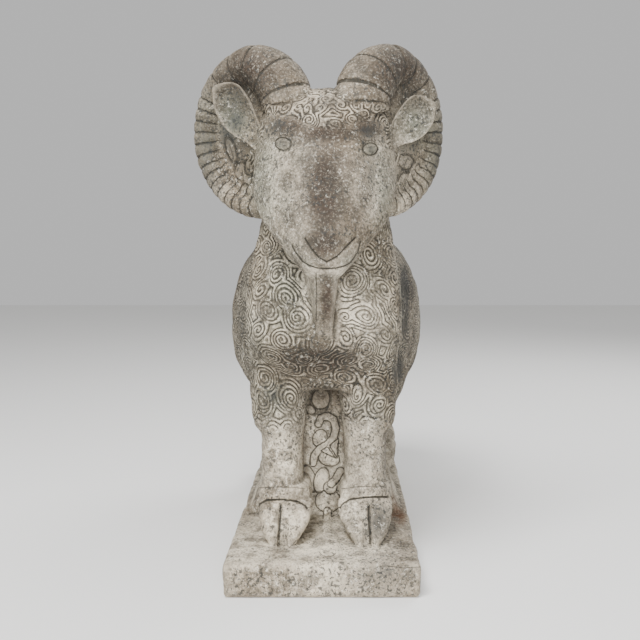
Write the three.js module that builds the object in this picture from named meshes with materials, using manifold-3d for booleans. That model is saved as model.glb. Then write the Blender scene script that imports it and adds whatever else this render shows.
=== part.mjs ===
// A carved stone ram, standing on a low plinth that is cut from the same block.
// Millimetres, +Z up. The ram faces -Y, and the origin is the middle of the plinth's underside.
import * as THREE from "three";
import { LoftGeometry } from "three/addons/geometries/LoftGeometry.js";
import { mergeVertices } from "three/addons/utils/BufferGeometryUtils.js";
import Module from "manifold-3d";

const wasm = await Module();
wasm.setup();

// Driving sizes.
const PLINTH_WIDTH = 360;
const PLINTH_LENGTH = 880;
const PLINTH_HEIGHT = 64;
const PLINTH_WORN_EDGE = 7; // the bevel that wear has left round the plinth
const FIGURE_HEIGHT = 978; // from the plinth's top to the top of the horns
const SUNK = 4; // how deep a carved form reaches into the stone that carries it
const HORN_GROOVE_DEPTH = 4;
const CURL_RELIEF = 5; // how far a lock of the fleece stands out
const VINE_RELIEF = 7; // how far the vine stands out of its panel
const EAR_WALL = 11;

// The figure is drawn 978 high, and every drawn length is a share of that.
const DRAWN_HEIGHT = 978;
const unit = FIGURE_HEIGHT / DRAWN_HEIGHT;

// How finely the forms are faceted.
const BODY_SIDES = 24;
const CHEST_SIDES = 20;
const LIMB_SIDES = 10;
const CLAW_SIDES = 7;
const HORN_SIDES = 8;

// Joining and cutting

function solid(geometry) {
  const bare = geometry.index ? geometry.toNonIndexed() : geometry.clone();
  for (const name of Object.keys(bare.attributes)) {
    if (name !== "position") bare.deleteAttribute(name);
  }
  const merged = mergeVertices(bare, 1e-3);
  const mesh = new wasm.Mesh({
    numProp: 3,
    vertProperties: merged.attributes.position.array,
    triVerts: new Uint32Array(merged.index.array),
  });
  return new wasm.Manifold(mesh);
}

const join = (solids) => solids.reduce((whole, piece) => whole.add(piece));

function geometryOf(manifold) {
  const { vertProperties, triVerts } = manifold.getMesh();
  const geometry = new THREE.BufferGeometry();
  geometry.setAttribute("position", new THREE.BufferAttribute(vertProperties, 3));
  geometry.setIndex(new THREE.BufferAttribute(triVerts, 1));
  geometry.computeVertexNormals();
  return geometry;
}

function mirrored(geometry) {
  const twin = geometry.toNonIndexed();
  twin.scale(-1, 1, 1);
  const place = twin.attributes.position;
  const first = new THREE.Vector3();
  const second = new THREE.Vector3();
  for (let i = 0; i < place.count; i += 3) {
    first.fromBufferAttribute(place, i);
    second.fromBufferAttribute(place, i + 1);
    place.setXYZ(i, ...second);
    place.setXYZ(i + 1, ...first);
  }
  return twin;
}

// Puts a drawn form at its real size and place on the plinth.
function onPlinth(geometry) {
  return geometry.scale(unit, unit, unit).translate(0, 0, PLINTH_HEIGHT);
}

const single = (geometry) => [solid(onPlinth(geometry))];

// A form and its mirror image, both moved sideways by what the carver was out.
function pair(geometry, aside = 0) {
  return [geometry.toNonIndexed(), mirrored(geometry)].flatMap((form) => single(form.translate(aside, 0, 0)));
}

// Curves through stations. A station is a row of numbers that starts with its place along the form.

function rowAt(rows, place) {
  const last = rows.length - 1;
  let i = 0;
  while (i < last - 1 && place > rows[i + 1][0]) i += 1;
  const slope = (n, column) => {
    const before = rows[Math.max(0, n - 1)];
    const after = rows[Math.min(last, n + 1)];
    return (after[column] - before[column]) / (after[0] - before[0]);
  };
  const span = rows[i + 1][0] - rows[i][0];
  const t = (place - rows[i][0]) / span;
  const a = t * t * (3 - 2 * t);
  return rows[i].map((value, column) => {
    const start = slope(i, column) * span * t * (1 - t) ** 2;
    const end = slope(i + 1, column) * span * t * t * (t - 1);
    return value * (1 - a) + rows[i + 1][column] * a + start + end;
  });
}

// An oval in the ground plane from front to back, squarer as squareness grows past 2.
function oval(sides, middle, halfWidth, front, back, squareness, z) {
  return Array.from({ length: sides }, (_, i) => {
    const turn = ((i + 0.5) / sides) * 2 * Math.PI;
    const c = Math.cos(turn);
    const s = Math.sin(turn);
    const round = 2 / squareness;
    const x = middle + halfWidth * Math.sign(c) * Math.abs(c) ** round;
    const y = (front + back) / 2 + ((back - front) / 2) * Math.sign(s) * Math.abs(s) ** round;
    return new THREE.Vector3(x, y, z);
  });
}

const lofted = (sections) => new LoftGeometry(sections, { capStart: true, capEnd: true });

// Limbs, the chest and the web are stacks of ovals: height, middle, half width, front, back, squareness.
function stack(rows, sides, places = rows.map((row) => row[0])) {
  return lofted(
    places.map((z) => {
      const [, middle, halfWidth, front, back, squareness] = rowAt(rows, z);
      return oval(sides, middle, halfWidth, front, back, squareness, z);
    }),
  );
}

// The barrel of the body, from the shoulder to the rump: place, middle, half width, underside, height where it is
// widest, back, squareness.
const BARREL = [
  [-260, 0, 96, 320, 430, 560, 2.2],
  [-215, 0, 132, 300, 425, 618, 2.3],
  [-150, 0, 146, 270, 412, 640, 2.3],
  [-80, 0, 182, 215, 398, 640, 2.3],
  [0, 0, 212, 190, 390, 636, 2.3],
  [80, 0, 225, 184, 388, 634, 2.3],
  [170, -1, 226, 192, 390, 636, 2.3],
  [250, -3, 218, 215, 398, 638, 2.3],
  [320, -4, 194, 255, 420, 622, 2.2],
  [375, -5, 152, 305, 440, 584, 2.1],
  [408, -5, 100, 355, 450, 535, 2],
  [422, -5, 45, 410, 450, 485, 2],
];

function barrel() {
  const sections = BARREL.map(([y, middle, halfWidth, under, widest, back, squareness]) =>
    Array.from({ length: BODY_SIDES }, (_, i) => {
      const turn = ((i + 0.5) / BODY_SIDES) * 2 * Math.PI;
      const c = -Math.cos(turn);
      const s = Math.sin(turn);
      const round = 2 / squareness;
      const x = middle + halfWidth * Math.sign(c) * Math.abs(c) ** round;
      const z = widest + (s > 0 ? back - widest : under - widest) * Math.abs(s) ** round;
      return new THREE.Vector3(x, y, z);
    }),
  );
  return lofted(sections);
}

// The neck and chest: it turns under at a ridge, and its lower edge hangs over the forelegs.
const CHEST_RIDGE = 386;
const CHEST = [
  [284, 0, 108, -262, -150, 2.4],
  [290, 0, 128, -280, -132, 2.6],
  [304, 0, 142, -297, -120, 3.0],
  [345, 0, 150, -329, -110, 3.0],
  [CHEST_RIDGE - 8, 0, 153, -360, -105, 3.0],
  [CHEST_RIDGE + 6, 0, 155, -364, -105, 3.0],
  [450, 0, 158, -347, -105, 2.8],
  [510, 1, 154, -332, -85, 2.6],
  [570, 2, 143, -318, -90, 2.4],
  [630, 3, 131, -305, -105, 2.3],
  [700, 3, 120, -295, -130, 2.2],
  [780, 3, 103, -285, -160, 2.1],
  [842, 3, 70, -280, -195, 2.1],
];

// The head is drawn as level outlines. Each row: height, the front of the face, the face's front corner (x, y),
// the cheek (x, y) and the back corner (x, y).
const HEAD = [
  [513, -434, 16, -430, 26, -415, 18, -398],
  [522, -448, 23, -442, 35, -418, 26, -386],
  [536, -457, 31, -449, 48, -414, 34, -368],
  [548, -461, 37, -452, 59, -408, 40, -352],
  [570, -461, 45, -450, 78, -395, 52, -325],
  [604, -454, 52, -440, 106, -366, 75, -280],
  [645, -443, 56, -428, 130, -342, 95, -250],
  [687, -429, 59, -414, 139, -324, 105, -230],
  [733, -411, 63, -396, 138, -312, 108, -215],
  [776, -391, 72, -374, 136, -302, 106, -205],
  [808, -381, 86, -357, 132, -296, 102, -205],
  [835, -367, 80, -344, 119, -290, 92, -205],
  [862, -346, 60, -327, 91, -282, 75, -212],
  [878, -322, 40, -309, 62, -275, 50, -225],
  [886, -294, 18, -288, 30, -270, 20, -248],
];
const HEAD_SIDES = 22;
const HEAD_ASIDE = 3; // the head stands this far to the right of the middle

function head() {
  const sections = HEAD.map(([z, front, cornerX, cornerY, cheekX, cheekY, backX, backY]) => {
    const half = [
      [cornerX, cornerY],
      [cheekX, cheekY],
      [backX, backY],
    ];
    const outline = [
      [0, front],
      ...half,
      [0, backY + (backY - cheekY) * 0.12],
      ...half.map(([x, y]) => [-x, y]).reverse(),
    ].map(([x, y]) => new THREE.Vector3(x, y, z));
    const curve = new THREE.CatmullRomCurve3(outline, true, "centripetal");
    return curve.getSpacedPoints(HEAD_SIDES).slice(0, HEAD_SIDES);
  });
  return lofted(sections);
}

// The eyeballs. The right one is carved lower and farther out than the left.
const EYES = [
  { x: 90, y: -371, z: 757 },
  { x: -75, y: -378, z: 767 },
];
const EYE_HALF_WIDTH = 16;
const EYE_HALF_HEIGHT = 11;

function ballAt(x, y, z, rx, ry, rz, wide = 10, high = 6) {
  return new THREE.SphereGeometry(1, wide, high).rotateX(Math.PI / 2).scale(rx, ry, rz).translate(x, y, z);
}

function eyes() {
  return EYES.flatMap(({ x, y, z }) => single(ballAt(x, y + 6, z, EYE_HALF_WIDTH, 12, EYE_HALF_HEIGHT)));
}

// The beard is a blade between the chin and the ridge of the chest: height, middle, half width, front, back.
const BEARD = [
  [388, 8, 9, -352, -320],
  [402, 6, 14, -371, -320],
  [450, 5, 19, -399, -320],
  [500, 5, 24, -430, -330],
  [530, 5, 24, -438, -340],
];

function beard() {
  return lofted(
    BEARD.map(([z, middle, halfWidth, front, back]) => {
      const flare = (z - BEARD[0][0]) * 0.12;
      return [
        new THREE.Vector3(middle - halfWidth, front, z),
        new THREE.Vector3(middle + halfWidth, front, z),
        new THREE.Vector3(middle + halfWidth, back, z),
        new THREE.Vector3(middle - halfWidth - flare, back, z),
      ];
    }),
  );
}

// A horn coils in an upright plane that turns outwards and back. Each row: the turn in degrees, counted down
// from the root over the top, the coil's radius and the horn's own radius.
const COIL_MIDDLE = { x: 123, y: -252, z: 800 };
const HORN_TURNS = [44, 32]; // how far the plane of the right and of the left horn turns back, in degrees
const COIL = [
  [-12, 66, 50],
  [0, 80, 52],
  [12, 91, 53],
  [36, 113, 52],
  [50, 129, 47],
  [64, 142, 42],
  [90, 147, 36],
  [142, 144, 29],
  [190, 143, 26],
  [232, 147, 24],
  [275, 142, 23],
  [320, 124, 22],
  [365, 100, 20],
  [410, 77, 18],
  [455, 60, 15],
  [485, 48, 10],
];
const COIL_START = THREE.MathUtils.degToRad(142);
const FIRST_BAND = 44; // length of the band next to the forehead
const LAST_BAND = 27;
const BANDS_END = 290; // the inner part of the coil, past this turn, is plain
const BAND_SHRINK = 0.96; // each band is this much shorter than the one before

function coilPoint(degrees, planeTurn) {
  const [, radius] = rowAt(COIL, degrees);
  const angle = COIL_START - THREE.MathUtils.degToRad(degrees);
  const outward = radius * Math.cos(angle);
  return new THREE.Vector3(
    COIL_MIDDLE.x + outward * Math.cos(planeTurn),
    COIL_MIDDLE.y + outward * Math.sin(planeTurn),
    COIL_MIDDLE.z + radius * Math.sin(angle),
  );
}

// The turns, in degrees, at which the grooves between the horn's bands lie.
function hornGrooves() {
  const grooves = [];
  let band = FIRST_BAND;
  let run = 0;
  for (let degrees = 1; degrees < BANDS_END; degrees += 1) {
    run += coilPoint(degrees, 0).distanceTo(coilPoint(degrees - 1, 0));
    if (run >= band) {
      grooves.push(degrees);
      run = 0;
      band = Math.max(LAST_BAND, band * BAND_SHRINK);
    }
  }
  return grooves;
}

function horn(planeTurn) {
  const grooves = hornGrooves();
  const first = COIL[0][0];
  const stops = [[first, 0]];
  grooves.forEach((groove, i) => {
    const before = i ? grooves[i - 1] : first;
    stops.push([(groove + before) / 2, 0.35]);
    stops.push([groove, -1]);
  });
  const plain = COIL.filter(([degrees]) => degrees > BANDS_END);
  plain.forEach(([degrees]) => stops.push([degrees, 0]));
  const aside = new THREE.Vector3(Math.sin(planeTurn), -Math.cos(planeTurn), 0);
  const sections = stops.map(([degrees, swell]) => {
    const middle = coilPoint(degrees, planeTurn);
    const along = coilPoint(degrees + 1, planeTurn).sub(coilPoint(degrees - 1, planeTurn)).normalize();
    const across = new THREE.Vector3().crossVectors(aside, along);
    const size = rowAt(COIL, degrees)[2];
    const depth = Math.min(HORN_GROOVE_DEPTH, size * 0.2);
    const radius = size + swell * depth;
    return Array.from({ length: HORN_SIDES }, (_, i) => {
      const turn = (i / HORN_SIDES) * 2 * Math.PI;
      return middle
        .clone()
        .addScaledVector(across, radius * Math.cos(turn))
        .addScaledVector(aside, radius * Math.sin(turn));
    });
  });
  return lofted(sections);
}

// The stone that fills the coil, a little behind the horn's face.
const COIL_FILL_RADIUS = 140;
const COIL_FILL_HALF = 13;

function coilFill(planeTurn) {
  return new THREE.CylinderGeometry(COIL_FILL_RADIUS, COIL_FILL_RADIUS, COIL_FILL_HALF * 2, 20)
    .rotateZ(planeTurn)
    .translate(COIL_MIDDLE.x, COIL_MIDDLE.y, COIL_MIDDLE.z);
}

function horns() {
  return HORN_TURNS.flatMap((degrees, left) => {
    const planeTurn = THREE.MathUtils.degToRad(degrees);
    return [horn(planeTurn), coilFill(planeTurn)].flatMap((form) => single(left ? mirrored(form) : form));
  });
}

// An ear is a leaf that points out and up, hollowed in front. The left one is carved higher than the right.
const EARS = [
  { root: [120, -308, 766], tip: [221, -302, 853] },
  { root: [-116, -308, 760], tip: [-216, -302, 887] },
];
// Place from root to tip, half width below the axis, half width above it.
const EAR_LEAF = [
  [0, 14, 16],
  [0.2, 17, 21],
  [0.36, 27, 31],
  [0.52, 32, 39],
  [0.68, 30, 43],
  [0.82, 22, 42],
  [0.93, 11, 28],
  [1, 3, 6],
];
const EAR_WIDEST = 38;
const EAR_DEPTH = 22;

function earLeaf({ root, tip }, shrink, forward, rootGap = 0) {
  const from = new THREE.Vector3(...root);
  const to = new THREE.Vector3(...tip);
  const along = to.clone().sub(from).normalize();
  const face = new THREE.Vector3(Math.sign(root[0]) * 0.2, -0.97, -0.1);
  face.addScaledVector(along, -face.dot(along)).normalize();
  const across = new THREE.Vector3().crossVectors(face, along);
  const sides = 8;
  const length = from.distanceTo(to);
  return lofted(
    EAR_LEAF.map(([share, below, above]) => {
      const kept = (rootGap + shrink + share * (length - rootGap - 2 * shrink)) / length;
      const aside = (Math.sign(root[0]) * (above - below)) / 2;
      const middle = from.clone().lerp(to, kept).addScaledVector(face, forward).addScaledVector(across, aside);
      const width = Math.max(1.5, (above + below) / 2 - shrink);
      return Array.from({ length: sides }, (_, i) => {
        const turn = (i / sides) * 2 * Math.PI;
        return middle
          .clone()
          .addScaledVector(across, width * Math.cos(turn))
          .addScaledVector(face, EAR_DEPTH * (width / EAR_WIDEST) * Math.sin(turn));
      });
    }),
  );
}

function ears() {
  return EARS.map((ear) => {
    const [leaf] = single(earLeaf(ear, 0, 0));
    const [hollow] = single(earLeaf(ear, EAR_WALL * 0.6, EAR_DEPTH * 0.75, EAR_WALL));
    return leaf.subtract(hollow);
  });
}

// The pairs of legs and hooves stand this far to the right of the middle.
const FORE_ASIDE = 3;
const HOOF_ASIDE = 4;
const HIND_ASIDE = 4;

// A leg above its hoof: height, middle, half width, front, back, squareness. The cuff over the hoof stands out.
const FORELEG_MIDDLE = 81;
const CUFF_TOP = 94;
const CUFF_STEP = 4;
const FORELEG = [
  [-SUNK, 78, 38, -262, -156, 2.6],
  [50, 78, 44, -280, -152, 2.6],
  [70, 80, 52, -307, -150, 2.6],
  [CUFF_TOP - 4, 80, 49, -304, -150, 2.6],
  [CUFF_TOP + 4, FORELEG_MIDDLE, 47 - CUFF_STEP, -298, -150, 2.6],
  [165, FORELEG_MIDDLE, 42.5, -296, -150, 2.5],
  [198, FORELEG_MIDDLE, 44, -298, -148, 2.5],
  [214, 86, 53, -300, -142, 2.5],
  [250, 88, 56, -302, -134, 2.4],
  [300, 86, 62, -300, -126, 2.4],
  [345, 80, 66, -292, -120, 2.4],
];
const HINDLEG_MIDDLE = 122;
const HINDLEG = [
  [-SUNK, 118, 38, 262, 345, 2.6],
  [50, 118, 44, 240, 348, 2.6],
  [70, 119, 51, 214, 350, 2.6],
  [CUFF_TOP - 4, 119, 49, 217, 350, 2.6],
  [CUFF_TOP + 4, HINDLEG_MIDDLE, 47 - CUFF_STEP, 222, 348, 2.6],
  [150, HINDLEG_MIDDLE, 48, 220, 352, 2.5],
  [197, HINDLEG_MIDDLE + 4, 65, 200, 372, 2.4],
  [255, HINDLEG_MIDDLE + 4, 83, 150, 392, 2.3],
  [330, 122, 98, 92, 404, 2.2],
  [420, 120, 104, 72, 408, 2.1],
  [500, 112, 94, 96, 392, 2.1],
  [560, 95, 66, 150, 340, 2.0],
];

// A hoof is two claws, wide under the cuff and narrow at the toe: height, offset, half width, front, back. The claw on
// the outside stays fuller towards the toe.
const INNER_CLAW = [
  [-SUNK, 13, 8, -350, -280, 2.1],
  [3, 14, 11, -354, -275, 2.1],
  [16, 18, 17, -349, -268, 2.2],
  [36, 23.5, 23.5, -336, -262, 2.3],
  [56, 26, 26, -319, -258, 2.4],
  [68, 26, 26, -309, -258, 2.4],
  [75, 25, 22, -300, -258, 2.2],
];
const OUTER_CLAW = [
  [-SUNK, 17, 11, -348, -280, 2.1],
  [3, 18, 14.5, -353, -275, 2.2],
  [16, 22, 20.5, -349, -268, 2.3],
  [36, 25, 25, -336, -262, 2.4],
  [56, 27, 27, -319, -258, 2.5],
  [68, 27, 27, -309, -258, 2.5],
  [75, 25, 22, -300, -258, 2.3],
];
const HOOF_MIDDLE = 78;
const HIND_HOOF_MIDDLE = 118;
const HIND_HOOF_BACK = 520; // how far the hind hooves stand behind the fore ones

function hoof(middle, back) {
  return [1, -1].map((side) =>
    stack(
      (side > 0 ? OUTER_CLAW : INNER_CLAW).map(([z, offset, ...rest]) => [z, side * offset, ...rest]),
      CLAW_SIDES,
    ).translate(middle, back, 0),
  );
}

// The stone left under the belly. Its front end is the panel between the forelegs.
const PANEL_FACE = -156;
const WEB_BACK = 262;
const LEDGE_HEIGHT = 42;
const LEDGE_HALF = 170;
const LEDGE_BACK = 186;
const WEB = [
  [-SUNK, 0, 62, PANEL_FACE, WEB_BACK, 7],
  [70, 0, 56, PANEL_FACE, WEB_BACK, 7],
  [150, 0, 52, PANEL_FACE, WEB_BACK, 7],
  [310, 0, 60, PANEL_FACE, WEB_BACK, 7],
];

function ledge() {
  const inside = 0.3; // keeps the ledge's front clear of the panel's own face
  return stack(
    [
      [-SUNK, 0, LEDGE_HALF, PANEL_FACE + inside, LEDGE_BACK, 9],
      [LEDGE_HEIGHT * 0.4, 0, LEDGE_HALF - 12, PANEL_FACE + 4, LEDGE_BACK - 6, 9],
      [LEDGE_HEIGHT, 0, LEDGE_HALF - 22, PANEL_FACE + 8, LEDGE_BACK - 12, 9],
    ],
    20,
  );
}

const TAIL = [
  [360, 0, 16, 380, 420, 2.2],
  [385, 0, 24, 385, 436, 2.2],
  [450, 0, 27, 385, 446, 2.2],
  [520, 0, 24, 370, 440, 2.2],
  [565, 0, 18, 350, 418, 2.2],
];

// The vine on the panel. A teardrop runs from its round end (x, z) to its point (x, z).
const LEAVES = [
  { round: [-7, 250], point: [-9, 222], half: 18 },
  { round: [-27, 226], point: [-37, 219], half: 8 },
  { round: [-19, 166], point: [-4, 150], half: 13 },
  { round: [10, 176], point: [6, 148], half: 12 },
  { round: [31, 156], point: [33, 118], half: 9 },
  { round: [14, 140], point: [31, 119], half: 10 },
  { round: [-28, 94], point: [-14, 42], half: 12 },
  { round: [-1, 88], point: [-14, 42], half: 14 },
  { round: [17, 62], point: [38, 100], half: 12 },
  { round: [6, 26], point: [6, -10], half: 22 },
];
const SCROLL_HALF = 4; // half the width of the vine's stem
const SCROLL = [
  [-10, 184],
  [-15, 203],
  [2, 218],
  [22, 206],
  [25, 180],
  [8, 156],
  [-20, 138],
  [-30, 116],
];

function leafShape({ round: [x, z], point: [px, pz], half }) {
  const length = Math.hypot(px - x, pz - z);
  const ax = (px - x) / length;
  const az = (pz - z) / length;
  const place = (along, across) => [x + ax * along - az * across, z + az * along + ax * across];
  const shape = new THREE.Shape();
  shape.moveTo(...place(length, 0));
  shape.bezierCurveTo(...place(length * 0.45, half), ...place(half * 0.5, half), ...place(0, half));
  shape.bezierCurveTo(...place(-half * 1.3, half), ...place(-half * 1.3, -half), ...place(0, -half));
  shape.bezierCurveTo(...place(half * 0.5, -half), ...place(length * 0.45, -half), ...place(length, 0));
  return shape;
}

// Raises a shape drawn in x and z out of the panel, towards the front.
function raised(shape, height, segments) {
  return new THREE.ExtrudeGeometry(shape, {
    depth: height + SUNK,
    bevelEnabled: false,
    curveSegments: segments,
  })
    .rotateX(Math.PI / 2)
    .translate(0, PANEL_FACE + SUNK, 0);
}

function scroll() {
  const path = new THREE.CatmullRomCurve3(SCROLL.map(([x, z]) => new THREE.Vector3(x, 0, z)));
  const steps = 14;
  const sections = path.getPoints(steps).map((middle, i) => {
    const along = path.getTangent(i / steps);
    const across = new THREE.Vector3(along.z, 0, -along.x);
    const corner = (side, out) =>
      middle
        .clone()
        .addScaledVector(across, side * SCROLL_HALF)
        .setY(PANEL_FACE - out);
    return [corner(1, -SUNK), corner(-1, -SUNK), corner(-1, VINE_RELIEF + 2), corner(1, VINE_RELIEF + 2)];
  });
  return lofted(sections);
}

// The vine's stem runs out on the plinth and ends in a long round leaf between the hooves.
function plinthLeaf() {
  const low = new THREE.Shape();
  const height = 4;
  low.moveTo(10, -150);
  low.lineTo(10, -262);
  low.bezierCurveTo(-6, -280, -12, -310, -8, -340);
  low.bezierCurveTo(-4, -388, 28, -388, 32, -340);
  low.bezierCurveTo(36, -310, 30, -280, 18, -262);
  low.lineTo(18, -150);
  return new THREE.ExtrudeGeometry(low, { depth: height + SUNK, bevelEnabled: false, curveSegments: 5 })
    .translate(0, 0, -SUNK);
}

// Locks of the fleece on the front: x, height, radius and the way they turn.
const FRONT_CURLS = [
  [-66, 494, 26, 1],
  [-55, 440, 25, -1],
  [-104, 482, 20, -1],
  [-108, 420, 22, 1],
  [-88, 350, 26, 1],
  [-100, 300, 18, -1],
  [66, 494, 26, -1],
  [114, 474, 20, 1],
  [82, 428, 27, -1],
  [86, 352, 22, -1],
  [20, 335, 20, 1],
  [-84, 262, 19, 1],
  [88, 262, 18, -1],
  [-26, 822, 18, 1],
  [26, 812, 20, -1],
  [2, 848, 17, 1],
  [64, 830, 16, 1],
  [-60, 834, 16, -1],
];
// Locks on each flank: y, height, radius and the way they turn.
const SIDE_CURLS = [
  [-60, 520, 38, 1],
  [-58, 405, 36, -1],
  [-30, 305, 28, 1],
  [40, 465, 38, -1],
  [50, 350, 34, 1],
  [135, 520, 38, 1],
  [140, 410, 36, -1],
  [230, 465, 38, -1],
  [235, 350, 34, 1],
  [315, 510, 32, 1],
  [320, 400, 34, -1],
  [-212, 530, 28, 1],
  [-210, 430, 26, -1],
];
const CURL_STEPS = 5;
const CURL_TURNS = 1.1;

// One lock: a ridge that winds in to its middle, on the surface that the ray meets.
function curl(hit, radius, hand) {
  const out = hit.face.normal.clone();
  const up = new THREE.Vector3(0, 0, 1);
  up.addScaledVector(out, -up.dot(out)).normalize();
  const side = new THREE.Vector3().crossVectors(up, out).multiplyScalar(hand);
  const sections = Array.from({ length: CURL_STEPS + 1 }, (_, i) => {
    const share = i / CURL_STEPS;
    const reach = radius * unit * (1 - share * 0.86);
    const turn = share * CURL_TURNS * 2 * Math.PI;
    const away = side.clone().multiplyScalar(Math.cos(turn)).addScaledVector(up, Math.sin(turn));
    const middle = hit.point.clone().addScaledVector(away, reach);
    const half = radius * unit * (share < 0.05 ? 0.08 : 0.2);
    const points = [
      middle.clone().addScaledVector(away, half).addScaledVector(out, -SUNK * 2),
      middle.clone().addScaledVector(out, CURL_RELIEF * (share < 0.05 ? 0.3 : 1)),
      middle.clone().addScaledVector(away, -half).addScaledVector(out, -SUNK * 2),
    ];
    return hand < 0 ? points : points.reverse();
  });
  return solid(lofted(sections));
}

function curls(base) {
  const target = new THREE.Mesh(geometryOf(base));
  const caster = new THREE.Raycaster();
  const far = 2000;
  const made = [];
  const cast = (from, towards, radius, hand) => {
    caster.set(from, towards);
    const [hit] = caster.intersectObject(target);
    if (hit) made.push(curl(hit, radius, hand));
  };
  for (const [x, z, radius, hand] of FRONT_CURLS) {
    const from = new THREE.Vector3(x * unit, -far, PLINTH_HEIGHT + z * unit);
    cast(from, new THREE.Vector3(0, 1, 0), radius, hand);
  }
  for (const side of [-1, 1]) {
    for (const [y, z, radius, hand] of SIDE_CURLS) {
      const from = new THREE.Vector3(side * far, y * unit, PLINTH_HEIGHT + z * unit);
      cast(from, new THREE.Vector3(-side, 0, 0), radius, hand * side);
    }
  }
  return made;
}

function plinth() {
  const half = PLINTH_WIDTH / 2 - PLINTH_WORN_EDGE;
  const halfLong = PLINTH_LENGTH / 2 - PLINTH_WORN_EDGE;
  const outline = new THREE.Shape();
  outline.moveTo(-half, -halfLong);
  outline.lineTo(half, -halfLong);
  outline.lineTo(half, halfLong);
  outline.lineTo(-half, halfLong);
  outline.closePath();
  return new THREE.ExtrudeGeometry(outline, {
    depth: PLINTH_HEIGHT - 2 * PLINTH_WORN_EDGE,
    bevelEnabled: true,
    bevelThickness: PLINTH_WORN_EDGE,
    bevelSize: PLINTH_WORN_EDGE,
    bevelSegments: 2,
  }).translate(0, 0, PLINTH_WORN_EDGE);
}

function figure() {
  return join([
    ...single(barrel()),
    ...single(stack(CHEST, CHEST_SIDES)),
    ...single(head().translate(HEAD_ASIDE, 0, 0)),
    ...eyes(),
    ...single(beard()),
    ...horns(),
    ...ears(),
    ...pair(stack(FORELEG, LIMB_SIDES), FORE_ASIDE),
    ...pair(stack(HINDLEG, LIMB_SIDES), HIND_ASIDE),
    ...hoof(HOOF_MIDDLE, 0).flatMap((claw) => pair(claw, HOOF_ASIDE)),
    ...hoof(HIND_HOOF_MIDDLE, HIND_HOOF_BACK).flatMap((claw) => pair(claw, HIND_ASIDE)),
    ...single(stack(WEB, 16)),
    ...single(ledge()),
    ...single(stack(TAIL, 8)),
    ...LEAVES.flatMap((leaf) => single(raised(leafShape(leaf), VINE_RELIEF, 3))),
    ...single(scroll()),
    ...single(plinthLeaf()),
  ]);
}

const smooth = join([solid(plinth()), figure()]);
const ram = join([smooth, ...curls(smooth)]);

const stone = new THREE.MeshStandardMaterial({ color: 0x9a9182, roughness: 0.9, metalness: 0 });
const mesh = new THREE.Mesh(geometryOf(ram), stone);
mesh.name = "ram_statue";
const statue = new THREE.Group();
statue.add(mesh);

export default statue;
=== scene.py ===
# %% [markdown]
# # A weathered stone ram on its plinth
# The real object is one block of coarse, pale stone: a ram with ribbed horns, a fleece of carved locks, cloven
# hooves, and a vine on the stone that was left between its forelegs. A sculptor goes from big forms to small ones,
# and so does this lesson: lofts for the masses, one voxel remesh that makes them a single block, carving by moving
# the block's points, and at last the stone itself as a material.

# %% Load the frame
import math

import bmesh
import bpy
import numpy as np
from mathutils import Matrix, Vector
from mathutils.bvhtree import BVHTree
from mathutils.kdtree import KDTree


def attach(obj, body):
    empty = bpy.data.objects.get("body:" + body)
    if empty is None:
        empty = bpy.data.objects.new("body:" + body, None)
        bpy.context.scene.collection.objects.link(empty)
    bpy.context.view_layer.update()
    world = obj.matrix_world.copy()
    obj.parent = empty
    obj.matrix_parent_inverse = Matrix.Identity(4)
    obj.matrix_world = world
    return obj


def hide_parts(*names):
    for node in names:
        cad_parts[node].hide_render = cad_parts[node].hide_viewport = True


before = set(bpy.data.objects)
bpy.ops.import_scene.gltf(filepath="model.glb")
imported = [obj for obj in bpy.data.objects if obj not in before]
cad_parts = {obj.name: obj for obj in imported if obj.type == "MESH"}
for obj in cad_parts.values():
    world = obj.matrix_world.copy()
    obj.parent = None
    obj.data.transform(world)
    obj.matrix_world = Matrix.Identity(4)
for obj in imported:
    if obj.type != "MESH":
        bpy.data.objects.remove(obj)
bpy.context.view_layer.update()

# %% [markdown]
# ## The camera
# A camera that is tilted makes upright edges lean. The photograph's edges don't, so the camera here stays level and
# its picture is shifted instead, the way a view camera does it. It stands two metres from the middle of the
# plinth, and looks along +Y.

# %% Camera
EYE_POINT = Vector((0.033, -2.040, 0.6456))
FOCAL_PIXELS = 884
PICTURE = 640
AIM = (340, 242)  # the pixel that the level line of sight goes through

camera = bpy.data.objects.new("camera", bpy.data.cameras.new("camera"))
bpy.context.scene.collection.objects.link(camera)
camera.location = EYE_POINT
camera.rotation_euler = (math.radians(90), 0, 0)
camera.data.sensor_width = 36
camera.data.lens = 36 * FOCAL_PIXELS / PICTURE
camera.data.shift_x = (PICTURE / 2 - AIM[0]) / PICTURE
camera.data.shift_y = (AIM[1] - PICTURE / 2) / PICTURE
bpy.context.scene.camera = camera
print("lens", round(camera.data.lens, 2), "mm")


def pixels_of(points):
    """Where points, in metres, lie in the picture. Measurements from the photograph are kept in its pixels."""
    away = (points[:, 1] - EYE_POINT.y) / FOCAL_PIXELS
    return np.stack([AIM[0] + (points[:, 0] - EYE_POINT.x) / away, AIM[1] + (EYE_POINT.z - points[:, 2]) / away], 1)


# %% [markdown]
# ## Floor and light
# Stone shows its carving by its shadows, and outdoors a bright sky makes them soft. A pale floor and a pale
# surrounding give the same, with three wide lamps: the main one at the upper left, one low in front that opens the
# shadows under the head, and a weak one behind for the back.

# %% Floor and light
def flat_material(name, colour, roughness):
    made = bpy.data.materials.new(name)
    made.use_nodes = True
    shader = made.node_tree.nodes["Principled BSDF"]
    shader.inputs["Base Color"].default_value = (*colour, 1)
    shader.inputs["Roughness"].default_value = roughness
    return made


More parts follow.
